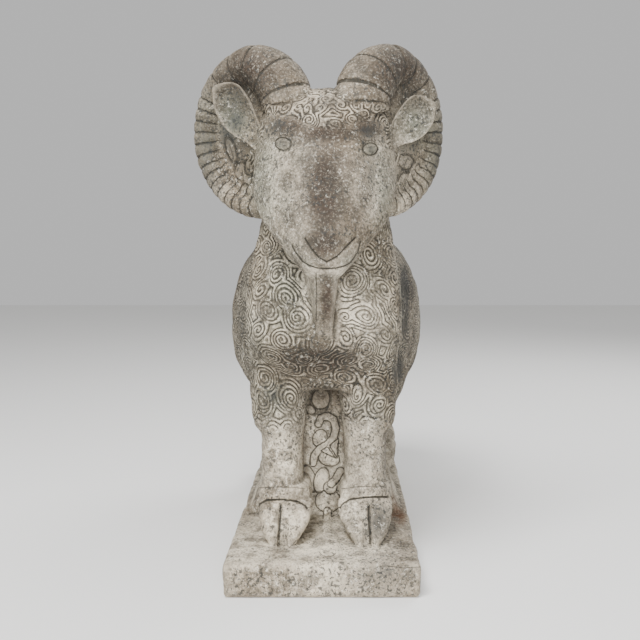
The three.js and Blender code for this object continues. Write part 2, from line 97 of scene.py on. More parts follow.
floor_mesh = bpy.data.meshes.new("floor")
floor_mesh.from_pydata([(-6, -5, 0), (6, -5, 0), (6, 7, 0), (-6, 7, 0)], [], [(0, 1, 2, 3)])
floor = bpy.data.objects.new("floor", floor_mesh)
bpy.context.scene.collection.objects.link(floor)
floor_mesh.materials.append(flat_material("pale floor", (0.80, 0.795, 0.78), 0.9))

world = bpy.data.worlds.new("soft sky")
bpy.context.scene.world = world
world.use_nodes = True
world.node_tree.nodes["Background"].inputs["Color"].default_value = (1.0, 1.0, 1.0, 1)
world.node_tree.nodes["Background"].inputs["Strength"].default_value = 0.60


def lamp(name, place, target, size, power):
    made = bpy.data.objects.new(name, bpy.data.lights.new(name, "AREA"))
    made.data.size = size
    made.data.energy = power
    made.location = place
    made.rotation_euler = (Vector(target) - Vector(place)).to_track_quat("-Z", "Y").to_euler()
    bpy.context.scene.collection.objects.link(made)


lamp("wide lamp", (-0.8, -1.7, 3.2), (0, 0, 0.45), 1.3, 165)
lamp("front lamp", (0.1, -3.4, 0.8), (0, 0, 0.40), 1.5, 135)
lamp("back lamp", (1.8, 1.8, 2.6), (0, 0, 0.6), 1.8, 65)

# %% [markdown]
# ## Stations
# The stone's main forms are stacks of ovals, as in the solid that they stand for. Each row of numbers is one
# station, in millimetres, drawn from the top of the plinth. Between the rows every number follows a smooth curve,
# so a few rows hold a whole leg, and a row can be corrected by itself. The alternative, a sculpted base mesh, can't
# be written down or measured. A row of a stack holds height, middle, half width, front, back and squareness, and a
# row of the barrel holds place, middle, half width, underside, widest height, back and squareness.

# %% From stations to rings
PLINTH_TOP = 64
COARSENESS = 1.0
BLEND_VOXEL = 0.005
FINE_VOXEL = 0.0022 * COARSENESS


def along(rows, places):
    """Every number of the rows at each of the places, on curves through the rows."""
    rows = np.asarray(rows, float)
    places = np.asarray(places, float)
    slopes = np.empty_like(rows)
    slopes[1:-1] = (rows[2:] - rows[:-2]) / (rows[2:, :1] - rows[:-2, :1])
    slopes[0] = (rows[1] - rows[0]) / (rows[1, 0] - rows[0, 0])
    slopes[-1] = (rows[-1] - rows[-2]) / (rows[-1, 0] - rows[-2, 0])
    i = np.clip(np.searchsorted(rows[:, 0], places, side="right") - 1, 0, len(rows) - 2)
    span = (rows[i + 1, 0] - rows[i, 0])[:, None]
    t = (places[:, None] - rows[i, :1]) / span
    ease = t * t * (3 - 2 * t)
    bend = slopes[i] * span * t * (1 - t) ** 2 + slopes[i + 1] * span * t * t * (t - 1)
    return rows[i] * (1 - ease) + rows[i + 1] * ease + bend


def places_in(rows, step):
    first, last = rows[0][0], rows[-1][0]
    count = max(2, round(abs(last - first) / step) + 1)
    return np.linspace(first, last, count)


def oval(sides, middle, half, front, back, squareness, z):
    turn = (np.arange(sides) + 0.5) / sides * 2 * np.pi
    c, s = np.cos(turn), np.sin(turn)
    power = 2 / squareness
    x = middle + half * np.sign(c) * np.abs(c) ** power
    y = (front + back) / 2 + (back - front) / 2 * np.sign(s) * np.abs(s) ** power
    return np.stack([x, y, np.full(sides, z)], 1)


def stack(rows, sides=72, step=5):
    return [oval(sides, *row[1:6], row[0]) for row in along(rows, places_in(rows, step))]


def skin(rings):
    """Points and triangles of a closed skin over the rings, wound so that it faces outwards."""
    rings = np.asarray(rings, float)
    count, sides = rings.shape[:2]
    points = np.vstack([rings.reshape(-1, 3), rings[0].mean(0), rings[-1].mean(0)])
    a = np.arange(sides)
    b = (a + 1) % sides
    rows = []
    for k in range(count - 1):
        low, high = k * sides, (k + 1) * sides
        rows.append(np.stack([low + a, low + b, high + b], 1))
        rows.append(np.stack([low + a, high + b, high + a], 1))
    rows.append(np.stack([b, a, np.full(sides, count * sides)], 1))
    last = (count - 1) * sides
    rows.append(np.stack([last + a, last + b, np.full(sides, count * sides + 1)], 1))
    faces = np.vstack(rows)
    corners = points[faces]
    volume = np.einsum("ij,ij->i", corners[:, 0], np.cross(corners[:, 1], corners[:, 2])).sum()
    return points, faces if volume > 0 else faces[:, ::-1]


def twins(rings, aside=0):
    """The rings and their mirror image, both moved sideways by what the carver was out."""
    rings = np.asarray(rings, float)
    return [rings + (aside, 0, 0), rings * (-1, 1, 1) + (aside, 0, 0)]


print("voxels, mm:", round(BLEND_VOXEL * 1000, 1), "and", round(FINE_VOXEL * 1000, 1))

# %% [markdown]
# ## Body, chest and head
# The barrel of the body runs from front to back. The neck and chest is an upright stack that turns under at a
# ridge over the forelegs. The head is drawn as level outlines through four points on each side: the front of the
# face, its corner, the cheek and the back corner.

# %% Body, chest and head
BARREL = [
    [-260, 0, 96, 320, 430, 560, 2.2],
    [-215, 0, 132, 300, 425, 618, 2.3],
    [-150, 0, 146, 270, 412, 640, 2.3],
    [-80, 0, 182, 215, 398, 640, 2.3],
    [0, 0, 212, 190, 390, 636, 2.3],
    [80, 0, 225, 184, 388, 634, 2.3],
    [170, -1, 226, 192, 390, 636, 2.3],
    [250, -3, 218, 215, 398, 638, 2.3],
    [320, -4, 194, 255, 420, 622, 2.2],
    [375, -5, 152, 305, 440, 584, 2.1],
    [408, -5, 100, 355, 450, 535, 2],
    [422, -5, 45, 410, 450, 485, 2],
]
CHEST = [
    [284, 0, 108, -262, -150, 2.4],
    [290, 0, 128, -280, -132, 2.6],
    [304, 0, 142, -297, -120, 3.0],
    [345, 0, 150, -329, -110, 3.0],
    [378, 0, 153, -360, -105, 3.0],
    [392, 0, 155, -364, -105, 3.0],
    [450, 0, 158, -347, -105, 2.8],
    [510, 1, 154, -332, -85, 2.6],
    [570, 2, 143, -318, -90, 2.4],
    [630, 3, 131, -305, -105, 2.3],
    [700, 3, 120, -295, -130, 2.2],
    [780, 3, 103, -285, -160, 2.1],
    [842, 3, 70, -280, -195, 2.1],
]
HEAD = [
    [513, -434, 16, -430, 26, -415, 18, -398],
    [522, -448, 23, -442, 35, -418, 26, -386],
    [536, -457, 31, -449, 48, -414, 34, -368],
    [548, -461, 37, -452, 59, -408, 40, -352],
    [570, -461, 45, -450, 78, -395, 52, -325],
    [604, -454, 52, -440, 106, -366, 75, -280],
    [645, -443, 56, -428, 130, -342, 95, -250],
    [687, -429, 59, -414, 139, -324, 105, -230],
    [733, -411, 63, -396, 138, -312, 108, -215],
    [776, -391, 72, -374, 136, -302, 106, -205],
    [808, -381, 86, -357, 132, -296, 102, -205],
    [835, -367, 80, -344, 119, -290, 92, -205],
    [862, -346, 60, -327, 91, -282, 75, -212],
    [878, -322, 40, -309, 62, -275, 50, -225],
    [886, -294, 18, -288, 30, -270, 20, -248],
]
HEAD_ASIDE = 3
print("stations of the barrel, chest and head:", len(BARREL), len(CHEST), len(HEAD))


# %% Rings of the barrel and the head
def barrel_rings(sides=96, step=8):
    turn = (np.arange(sides) + 0.5) / sides * 2 * np.pi
    c, s = -np.cos(turn), np.sin(turn)
    rings = []
    for y, middle, half, under, widest, back, squareness in along(BARREL, places_in(BARREL, step)):
        power = 2 / squareness
        x = middle + half * np.sign(c) * np.abs(c) ** power
        z = widest + np.where(s > 0, back - widest, under - widest) * np.abs(s) ** power
        rings.append(np.stack([x, np.full(sides, y), z], 1))
    return rings


def closed_curve(knots, count):
    """Evenly spaced points on a closed centripetal Catmull-Rom curve."""
    knots = np.asarray(knots, float)
    n = len(knots)
    dense = []
    for i in range(n):
        p = [knots[(i + k - 1) % n] for k in range(4)]
        gap = [max(1e-6, np.linalg.norm(p[k + 1] - p[k]) ** 0.5) for k in range(3)]
        t = np.linspace(0, 1, 24, endpoint=False)[:, None]
        into = (p[1] - p[0]) / gap[0] - (p[2] - p[0]) / (gap[0] + gap[1]) + (p[2] - p[1]) / gap[1]
        out = (p[2] - p[1]) / gap[1] - (p[3] - p[1]) / (gap[1] + gap[2]) + (p[3] - p[2]) / gap[2]
        into, out = into * gap[1], out * gap[1]
        dense.append(
            p[1] * (2 * t**3 - 3 * t**2 + 1) + into * (t**3 - 2 * t**2 + t)
            + p[2] * (3 * t**2 - 2 * t**3) + out * (t**3 - t**2)
        )
    dense = np.vstack(dense + [dense[0][:1]])
    run = np.concatenate([[0], np.cumsum(np.linalg.norm(np.diff(dense, axis=0), axis=1))])
    wanted = np.linspace(0, run[-1], count, endpoint=False)
    return np.stack([np.interp(wanted, run, dense[:, k]) for k in range(dense.shape[1])], 1)


def head_rings(sides=110, step=5):
    rings = []
    for z, front, corner_x, corner_y, cheek_x, cheek_y, back_x, back_y in along(HEAD, places_in(HEAD, step)):
        half = [(corner_x, corner_y), (cheek_x, cheek_y), (back_x, back_y)]
        knots = [(0, front), *half, (0, back_y + (back_y - cheek_y) * 0.12), *[(-x, y) for x, y in half[::-1]]]
        outline = closed_curve(knots, sides)
        rings.append(np.column_stack([outline[:, 0] + HEAD_ASIDE, outline[:, 1], np.full(sides, z)]))
    return rings


print("head:", len(head_rings()), "outlines")

# %% [markdown]
# ## Legs, hooves, and the stone under the belly
# A leg has a cuff where it meets the hoof, and a hoof is two claws that narrow to the toe. The carver left a wall of
# stone under the belly to carry its weight, with a low ledge along each side.

# %% Legs, hooves and web
FORELEG = [
    [-4, 78, 38, -262, -156, 2.6],
    [50, 78, 44, -280, -152, 2.6],
    [70, 80, 50, -305, -150, 2.6],
    [90, 80, 48, -303, -150, 2.6],
    [98, 81, 43, -298, -150, 2.6],
    [165, 81, 42.5, -296, -150, 2.5],
    [198, 81, 44, -298, -148, 2.5],
    [214, 86, 53, -300, -142, 2.5],
    [250, 88, 56, -302, -134, 2.4],
    [300, 86, 62, -300, -126, 2.4],
    [345, 80, 66, -292, -120, 2.4],
]
HINDLEG = [
    [-4, 118, 38, 262, 345, 2.6],
    [50, 118, 44, 240, 348, 2.6],
    [70, 119, 50, 215, 350, 2.6],
    [90, 119, 48, 217, 350, 2.6],
    [98, 122, 43, 222, 348, 2.6],
    [150, 122, 48, 220, 352, 2.5],
    [197, 126, 65, 200, 372, 2.4],
    [255, 126, 83, 150, 392, 2.3],
    [330, 122, 98, 92, 404, 2.2],
    [420, 120, 104, 72, 408, 2.1],
    [500, 112, 94, 96, 392, 2.1],
    [560, 95, 66, 150, 340, 2.0],
]
CUFF = [[71, 52, -308], [74, 53, -309], [88, 51, -306.5], [97, 48, -303], [101, 44, -299]]  # height, half, front
CUFF_BACK, HIND_CUFF_BACK = -172, -184
FORELEG_ASIDE, HOOF_ASIDE = 3, 4  # what the carver was out to the side
HOOF_MIDDLE, HIND_HOOF_MIDDLE = 78, 118
HIND_HOOF_BACK = 520  # how far the hind hooves stand behind the fore ones
INNER_CLAW = [
    [-4, 13, 8, -350, -280, 2.1],
    [3, 14, 11, -354, -275, 2.1],
    [16, 18, 17, -349, -268, 2.2],
    [36, 23.5, 23.5, -336, -262, 2.3],
    [56, 26, 26, -319, -258, 2.4],
    [68, 26, 26, -309, -258, 2.4],
    [75, 25, 22, -300, -258, 2.2],
]
OUTER_CLAW = [
    [-4, 17, 11, -348, -280, 2.1],
    [3, 18, 14.5, -353, -275, 2.2],
    [16, 22, 20.5, -349, -268, 2.3],
    [36, 25, 25, -336, -262, 2.4],
    [56, 27, 27, -319, -258, 2.5],
    [68, 27, 27, -309, -258, 2.5],
    [75, 25, 22, -300, -258, 2.3],
]
PANEL_FACE = -156
WEB = [
    [-4, 0, 62, PANEL_FACE, 262, 7],
    [70, 0, 56, PANEL_FACE, 262, 7],
    [150, 0, 52, PANEL_FACE, 262, 7],
    [310, 0, 60, PANEL_FACE, 262, 7],
]
LEDGE = [[-4, 0, 170, -155.7, 186, 9], [16.8, 0, 158, -152, 180, 9], [42, 0, 148, -148, 174, 9]]
TAIL = [
    [360, 0, 16, 380, 420, 2.2],
    [385, 0, 24, 385, 436, 2.2],
    [450, 0, 27, 385, 446, 2.2],
    [520, 0, 24, 370, 440, 2.2],
    [565, 0, 18, 350, 418, 2.2],
]
BEARD = [
    [388, 3, 11, -352, -320],
    [402, 4, 15, -371, -320],
    [450, 5, 17, -399, -320],
    [500, 8, 20, -430, -330],
    [530, 9, 21, -438, -340],
]
BEARD_CORNER = 0.35  # the less, the sharper the blade's corners
BEARD_FLARE = 0.21
print("stations of a foreleg and a hind leg:", len(FORELEG), len(HINDLEG))


# %% Rings of the hooves and the beard
def hooves(middle, back):
    made = []
    for side, claw in ((1, OUTER_CLAW), (-1, INNER_CLAW)):
        rows = [[z, side * offset, *rest] for z, offset, *rest in claw]
        made += twins(np.asarray(stack(rows, 48, 3)) + (middle, back, 0), HOOF_ASIDE)
    cuff = [[z, 2, half, front, HIND_CUFF_BACK if back else CUFF_BACK, 2.7] for z, half, front in CUFF]
    core = [[-4, 0, 16, -336, -262, 3], [30, 0, 22, -328, -262, 3], [70, 0, 30, -304, -262, 3]]
    for rows, sides in ((cuff, 80), (core, 32)):
        made += twins(np.asarray(stack(rows, sides, 2.5)) + (middle, back, 0), HOOF_ASIDE)
    return made


def beard_rings(sides=40):
    """A blade whose front edge is a band with soft corners, and whose left side flares to the back."""
    turn = np.arange(sides) / sides * 2 * np.pi
    u, v = (np.sign(w) * np.abs(w) ** BEARD_CORNER for w in (np.cos(turn), np.sin(turn)))
    rings = []
    for z, middle, half, front, back in along(BEARD, places_in(BEARD, 4)):
        flare = (z - BEARD[0][0]) * BEARD_FLARE * (v + 1) / 2 * (u < 0)
        y = (front + back) / 2 + v * (back - front) / 2
        rings.append(np.stack([middle + u * half - flare, y, np.full(sides, z)], 1))
    return rings


print("hooves:", len(hooves(HOOF_MIDDLE, 0)), "forms in front")

# %% [markdown]
# ## Horns
# A horn is one long loft along a coil that stands beside the head, in a plane that turns outwards and back. The
# bands between its grooves swell a little, so the groove's profile goes into the loft's own radius: then it runs
# right round the horn, which a carved line on one side would not. The grooves' places were read off the photograph.

# %% Horns
COIL = [
    [-12, 66, 50],
    [0, 80, 52],
    [12, 91, 53],
    [36, 113, 52],
    [50, 129, 47],
    [64, 142, 42],
    [90, 147, 36],
    [142, 144, 29],
    [190, 143, 26],
    [232, 147, 24],
    [275, 142, 23],
    [320, 124, 22],
    [365, 100, 20],
    [410, 77, 18],
    [455, 60, 15],
    [485, 48, 10],
]
COIL_MIDDLE = np.array([123.0, -252, 800])
COIL_START = 142
COIL_TURNS = np.arange(COIL[0][0], COIL[-1][0] + 0.1, 0.75)  # a ring at each of these turns
PER_RADIAN = 57.3  # degrees
HORN_TURNS = {1: 44, -1: 32}  # how far the plane of the right and of the left horn turns back
GROOVES = [-1, 13, 36, 60, 76, 93, 111, 120, 129, 138, 147.5, 157, 166.5, 175, 183.5, 192, 200, 208, 216, 225, 234, 244]
print("grooves on a horn:", len(GROOVES))


# %% Rings of the horns
def horn_axis(turns, plane):
    radius = along(COIL, turns)[:, 1]
    angle = np.radians(COIL_START - turns)
    outward = radius * np.cos(angle)
    return COIL_MIDDLE + np.stack([outward * math.cos(plane), outward * math.sin(plane), radius * np.sin(angle)], 1)


def bell(x):
    """1 at 0, and less and less on both sides."""
    return np.exp(-(x**2))


def groove_profile(turns):
    """For each turn: 1 at the bottom of a groove and 0 away from it, and the distance to the nearest groove."""
    gaps = np.abs(np.asarray(GROOVES)[None] - turns[:, None])
    run = np.min(gaps, 1) / PER_RADIAN * along(COIL, turns)[:, 1]  # millimetres from the nearest groove
    return bell(run / 1.7), run


def horn_rings(side, sides=72):
    plane = math.radians(HORN_TURNS[side])
    turns = COIL_TURNS
    middle = horn_axis(turns, plane)
    ahead = horn_axis(turns + 0.5, plane) - horn_axis(turns - 0.5, plane)
    ahead /= np.linalg.norm(ahead, axis=1)[:, None]
    aside = np.array([math.sin(plane), -math.cos(plane), 0])
    across = np.cross(aside, ahead)
    stout = side > 0  # the right horn is a little stouter at its root, and stands higher
    middle = middle + np.array([-3.0, 0, 3.0]) * stout
    size = along(COIL, turns)[:, 2] * (1 + 0.07 * stout * np.clip((70 - turns) / 40, 0, 1))
    cut, run = groove_profile(turns)
    swell = np.clip(run / 9, 0, 1) ** 0.5
    shown = 1 - np.clip((turns - 235) / 25, 0, 1)
    radius = size + shown * (swell - 0.6 - np.minimum(4.2, size * 0.14) * cut)
    phi = np.arange(sides) / sides * 2 * np.pi
    rings = (
        middle[:, None]
        + across[:, None] * (radius[:, None] * np.cos(phi))[..., None]
        + aside * (radius[:, None] * np.sin(phi))[..., None]
    )
    return rings * (side, 1, 1)


def fill_rings(side, radius=140, half=13, sides=96):
    """The thin stone that fills a coil, with a rounded rim."""
    plane = math.radians(HORN_TURNS[side])
    phi = np.arange(sides) / sides * 2 * np.pi
    flat = np.array([math.cos(plane), math.sin(plane), 0])
    out = np.array([math.sin(plane), -math.cos(plane), 0])
    rim = flat * np.cos(phi)[:, None] + np.array([0, 0, 1]) * np.sin(phi)[:, None]
    front = [(-half, 0.2), (-half, 0.6), (-half, 0.97), (-half + 4, 1)]
    profile = front + [(-offset, share) for offset, share in front[::-1]]
    return [(COIL_MIDDLE + out * offset + rim * radius * share) * (side, 1, 1) for offset, share in profile]


print("horn rings:", len(horn_rings(1)))

# %% [markdown]
# ## Ears
# An ear is a thick leaf that points out and up, hollowed in front like a cup. Its rings are ovals whose front half is
# pressed in behind a rim.

# %% Ears
EARS = {1: ((120, -308, 766), (221, -302, 853)), -1: ((-116, -308, 760), (-216, -302, 887))}
EAR_LEAF = [  # place from root to tip, half width below the axis and above it
    [0, 14, 16], [0.2, 17, 21], [0.36, 27, 31], [0.52, 32, 39],
    [0.68, 30, 43], [0.82, 22, 42], [0.93, 11, 28], [1, 3, 6],
]
EAR_WIDEST = 38
EAR_DEPTH = 22


def ear_rings(side, sides=72):
    root, tip = (np.array(p, float) for p in EARS[side])
    ahead = (tip - root) / np.linalg.norm(tip - root)
    face = np.array([side * 0.2, -0.97, -0.1])
    face -= ahead * face.dot(ahead)
    face /= np.linalg.norm(face)
    across = np.cross(face, ahead)
    phi = np.arange(sides) / sides * 2 * np.pi
    c, s = np.cos(phi), np.sin(phi)
    rings = []
    for share, below, above in along(EAR_LEAF, np.linspace(0, 1, 40)):
        width = max(2.0, (below + above) / 2)
        depth = EAR_DEPTH * width / EAR_WIDEST
        middle = root + (tip - root) * share + across * side * (above - below) / 2
        hollow = np.clip((share - 0.06) / 0.12, 0, 1) * np.clip((1.0 - share) / 0.12, 0, 1)
        spoon = 0.70 * np.abs(c) ** 3.0 - 0.34
        front = (1 - hollow) * s + hollow * spoon
        out = np.where(s > 0, front * np.minimum(1, np.abs(s) * 6), s)
        rings.append(middle + across * (width * c)[:, None] + face * (depth * out)[:, None])
    return rings


print("ear rings:", len(ear_rings(1)))

# %% [markdown]
# ## Plinth
# The plinth is a plain slab with worn edges. It is a stack too, of very square ovals.

# %% Plinth
PLINTH_HALF = (180, 440)


def plinth_rings(sides=400):
    turn = (np.arange(sides) + 0.5) / sides * 2 * np.pi
    c, s = np.cos(turn), np.sin(turn)
    reach = 1 / np.maximum(np.abs(c), np.abs(s))
    u, v = np.clip(c * reach, -1, 1), np.clip(s * reach, -1, 1)
    rings = []
    for z, inset in [(0, 6), (2, 2.6), (6, 0.4), (12, 0), (52, 0), (58, 0.5), (62, 2.8), (64, 7)]:
        x, y = u * (PLINTH_HALF[0] - inset), v * (PLINTH_HALF[1] - inset)
        rings.append(np.stack([x, y, np.full(sides, z - PLINTH_TOP)], 1))
    return rings


print("plinth rings:", len(plinth_rings()))

# %% [markdown]
# ## One block
# The forms that grow into each other, body, chest, head and legs, are first joined alone with a coarse voxel
# remesh and smoothed, which rounds the corners between them as a chisel would. The crisp forms, horns, ears,
# beard, hooves and plinth, are then added, and one fine remesh makes a single closed block of it all. A boolean
# would keep every sharp seam.

# %% From rings to a mesh
def mesh_object(name, points, faces):
    made = bpy.data.meshes.new(name)
    made.vertices.add(len(points))
    made.vertices.foreach_set("co", np.ascontiguousarray(points, np.float32).ravel())
    made.loops.add(len(faces) * 3)
    made.loops.foreach_set("vertex_index", np.ascontiguousarray(faces, np.int32).ravel())
    made.polygons.add(len(faces))
    made.polygons.foreach_set("loop_start", np.arange(0, len(faces) * 3, 3, dtype=np.int32))
    made.update(calc_edges=True)
    made.validate()
    thing = bpy.data.objects.new(name, made)
    bpy.context.scene.collection.objects.link(thing)
    return thing


def gather(forms):
    """Skins of drawn forms, moved onto the plinth, in metres, as one set of points and faces."""
    points, faces, count = [], [], 0
    for rings in forms:
        p, f = skin(rings)
        points.append((p + (0, 0, PLINTH_TOP)) / 1000)
        faces.append(f + count)
        count += len(p)
    return np.vstack(points), np.vstack(faces)


def settled(thing, modifiers):
    """Applies modifiers, given as (type, settings), and leaves the plain mesh."""
    for kind, settings in modifiers:
        added = thing.modifiers.new(kind.lower(), kind)
        for name, value in settings.items():
            setattr(added, name, value)
    graph = bpy.context.evaluated_depsgraph_get()
    made = bpy.data.meshes.new_from_object(thing.evaluated_get(graph))
    thing.modifiers.clear()
    thing.data = made
    return thing


def rows_of(items, field, kind=np.float32):
    """A field of three numbers, read from each item of a mesh."""
    flat = np.empty(len(items) * 3, kind)
    items.foreach_get(field, flat)
    return flat.reshape(-1, 3)


def points_of(mesh):
    return rows_of(mesh.vertices, "co").astype(float)


def normals_of(mesh):
    return rows_of(mesh.vertex_normals, "vector").astype(float)


def triangles_of(mesh):
    mesh.calc_loop_triangles()
    return rows_of(mesh.loop_triangles, "vertices", np.int32)


print("the tail alone:", len(skin(stack(TAIL))[1]), "triangles")

# %% Join the soft forms
soft_forms = [barrel_rings(), stack(CHEST, 96), head_rings()]
right_leg, left_leg = twins(stack(FORELEG), FORELEG_ASIDE)
left_leg[..., 0] -= 6.5  # it stands further out
soft_forms += [right_leg, left_leg] + twins(stack(HINDLEG), HOOF_ASIDE) + [stack(TAIL)]
soft = mesh_object("soft forms", *gather(soft_forms))
settled(soft, [
    ("REMESH", {"mode": "VOXEL", "voxel_size": BLEND_VOXEL}),
    ("SMOOTH", {"factor": 0.5, "iterations": 9}),
    ("TRIANGULATE", {}),
])

print("soft forms:", len(soft.data.vertices), "points")

# %% Add the crisp forms
crisp = {
    "horn": [horn_rings(side) for side in (1, -1)],
    "fill": [fill_rings(side) for side in (1, -1)],
    "ear": [ear_rings(side) for side in (1, -1)],
    "beard": [beard_rings()],
    "hoof": hooves(HOOF_MIDDLE, 0) + hooves(HIND_HOOF_MIDDLE, HIND_HOOF_BACK),
    "web": [stack(WEB, 96), stack(LEDGE, 96)],
    "plinth": [plinth_rings()],
}
crisp_points, crisp_faces = gather([rings for forms in crisp.values() for rings in forms])
soft_points = points_of(soft.data)
block = mesh_object(
    "ram",
    np.vstack([soft_points, crisp_points]),
    np.vstack([triangles_of(soft.data), crisp_faces + len(soft_points)]),
)
bpy.data.objects.remove(soft)
settled(block, [
    ("REMESH", {"mode": "VOXEL", "voxel_size": FINE_VOXEL}),
    ("SMOOTH", {"factor": 0.5, "iterations": 2}),
    ("TRIANGULATE", {}),
])
print("block:", len(block.data.vertices), "points")

# %% [markdown]
# ## Knowing what is what
# After the remesh the block is one skin without names. Each of its points therefore takes the name of the nearest
# form that it was made from. Weights that say how much of a finish a point gets are spread over its neighbours, so
# that no finish ends in a hard line.

# %% Names for the points
NAMES = ["body", "head", "leg", "tail", *crisp]


def named_tree():
    """A search tree of every form's places, with each place's form and its turn on the horn."""
    soft = {"body": soft_forms[:2], "head": soft_forms[2:3], "leg": soft_forms[3:7], "tail": soft_forms[7:8]}
    places, names, along_horn = [], [], []
    for name, forms in {**soft, **crisp}.items():
        for rings in forms:
            p = (np.asarray(rings)[:, ::2].reshape(-1, 3) + (0, 0, PLINTH_TOP)) / 1000
            places.append(p)
            names.append(np.full(len(p), NAMES.index(name)))
            on_coil = np.repeat(COIL_TURNS, len(p) // len(COIL_TURNS)) if name == "horn" else np.full(len(p), -99.0)
            along_horn.append(on_coil)
    places, names, along_horn = np.vstack(places), np.concatenate(names), np.concatenate(along_horn)
    tree = KDTree(len(places))
    for i, place in enumerate(places):
        tree.insert(place, i)
    tree.balance()
    return tree, names, along_horn


tree, name_of_place, turn_of_place = named_tree()


def named(points):
    nearest_place = np.array([tree.find(p)[1] for p in points])
    return name_of_place[nearest_place], turn_of_place[nearest_place]


def is_form(*names):
    return np.isin(form, [NAMES.index(name) for name in names])


points = points_of(block.data)
form, horn_turn = named(points)
print({name: int((form == i).sum()) for i, name in enumerate(NAMES)})

# %% [markdown]
# ## Neighbours
# A finish that should fade out needs the points next to each point. The triangles' edges give them, each edge both
# ways. Blender's Smooth modifier does such a spreading for places; here it has to work on any number.

# %% Neighbours
faces = triangles_of(block.data)
ways = np.vstack([faces[:, [0, 1]], faces[:, [1, 2]], faces[:, [2, 0]]])
ways = np.vstack([ways, ways[:, ::-1]])
share = 1 / np.maximum(1, np.bincount(ways[:, 0], minlength=len(points)))


def spread(values, times):
    """Replaces each value by the mean of its neighbours, a number of times."""
    for _ in range(times):
        columns = [np.bincount(ways[:, 0], c[ways[:, 1]], len(share)) * share for c in np.atleast_2d(values.T)]
        values = columns[0] if values.ndim == 1 else np.stack(columns, 1)
    return values


def ramp(values, start, end):
    """0 at start and 1 at end, with a soft way between."""
    t = np.clip((values - start) / (end - start), 0, 1)
    return t * t * (3 - 2 * t)


print("each point has", round(len(ways) / len(points) / 2, 1), "neighbours")

# %% [markdown]
# ## Noise for the chisel
# Wear and ragged borders need smooth chance. This is value noise: a lattice of random numbers, drawn once with a
# fixed seed, and an even passage from each to the next. Blender's own noise would serve too, but point by point and
# slowly.

# %% Noise for the chisel
SEED = 7
LATTICE_SIDE = 32
chance = np.random.default_rng(SEED)
LATTICE = chance.random((LATTICE_SIDE,) * 3).astype(np.float32) * 2 - 1


def rough(points, size, seed=0):
    """Smooth noise from -1 to 1, whose lumps are about `size` metres across."""
    p = points / size + seed * 7.31
    cell = np.floor(p).astype(int)
    t = p - cell
    t = t * t * (3 - 2 * t)
    total = np.zeros(len(p))
    for corner in np.ndindex(2, 2, 2):
        weight = abs(1 - corner[0] - t[:, 0]) * abs(1 - corner[1] - t[:, 1]) * abs(1 - corner[2] - t[:, 2])
        total += weight * LATTICE[tuple(((cell + corner) % LATTICE_SIDE).T)]
    return total


print("lattice:", LATTICE.shape, "mean", round(float(LATTICE.mean()), 3))

# %% [markdown]
# ## Where the fleece grows
# Locks cover the neck, chest, body and upper legs, the brow up to the horns, and a small patch beside each ear.
# The face, ears, horns, beard and lower legs are smooth. The border of the fleece is ragged on the legs.

# %% The fleece's weight
normals = normals_of(block.data)
seen = pixels_of(points)
height = points[:, 2] + 0.016 * rough(points, 0.05, 3)
woolly = (is_form("body", "leg", "tail") & (height > np.where(points[:, 1] < 0, 0.285, 0.26))).astype(float)
under_belly = (np.abs(points[:, 0]) < 0.075) & (points[:, 2] < 0.355) & (points[:, 1] < -0.12)
woolly[under_belly & (normals[:, 2] < -0.3)] = 0
back_of_head = is_form("head") & (points[:, 1] > -0.285 + 0.01 * rough(points, 0.04, 5))
BROW_LINE = [
    (240, 128), (262, 117), (289, 116), (303, 123), (318, 127), (333, 131), (345, 126), (353, 122), (383, 122),
    (388, 150), (410, 150),
]
line_at = np.interp(seen[:, 0], *np.array(BROW_LINE).T)
brow = is_form("head") & (points[:, 1] > -0.43) & (seen[:, 1] < line_at + 1.5 * rough(points, 0.02, 2))
brow |= is_form("horn") & (horn_turn < -2) & (points[:, 1] < -0.26) & (seen[:, 1] > 104) & (seen[:, 1] < line_at)
beside_ear = is_form("head") & (seen[:, 1] < 145) & ((seen[:, 0] < 263) | (seen[:, 0] > 387))
woolly[back_of_head | brow | beside_ear] = 1
fleece = np.clip(spread(woolly, 5), 0, 1)
fleece = ramp(fleece, 0.35, 0.9)
print("fleece on", round(float((fleece > 0.5).mean()) * 100), "% of the points")

# %% [markdown]
# ## The locks
# Each lock winds in to an eye, and between the eyes the strands of neighbours run together. A fingerprint works the
# same way, and so does this phase: the distance to the nearest eye, smoothly blended between eyes, counted in
# strands. Round each eye one turn is added, which opens its rings into a spiral, and taken back at a second point
# beside it, where a strand forks. Whole turns don't show, so the lines stay unbroken over the whole fleece. Eyes in
# front were read off the photograph; the others are scattered with a fixed seed.

# %% Eyes of the locks
EYES_SEEN = [
    (308.6, 119, 13), (334.5, 124, 14), (321, 107, 11), (351, 118, 11), (364, 113, 10), (312, 100, 9), (298, 107, 10),
    (287, 297, 30), (297, 317, 32), (276, 275, 24), (267.5, 311, 24), (258.6, 270, 20), (272, 357, 26), (266, 378, 26),
    (352, 281, 32), (384.5, 290, 22), (367, 300, 14), (366, 317, 30), (347, 317, 18), (366, 348, 26), (370, 364, 22),
    (344, 377, 24), (377, 385, 22), (323, 343, 28), (273, 433, 18), (288, 428, 15), (258, 427, 16), (368, 429, 18),
    (347, 423, 15), (246, 345, 26), (400, 330, 24), (268, 245, 22), (262, 400, 22), (380, 405, 20),
]


REACH_FRONT, REACH_BEHIND, REACH_BROW = 0.0245, 0.031, 0.014  # of a scattered lock, in metres
CROWDING = 0.84  # how near two eyes may come, as a share of their reaches
TRIES = 16000
print("locks seen in the photograph:", len(EYES_SEEN))


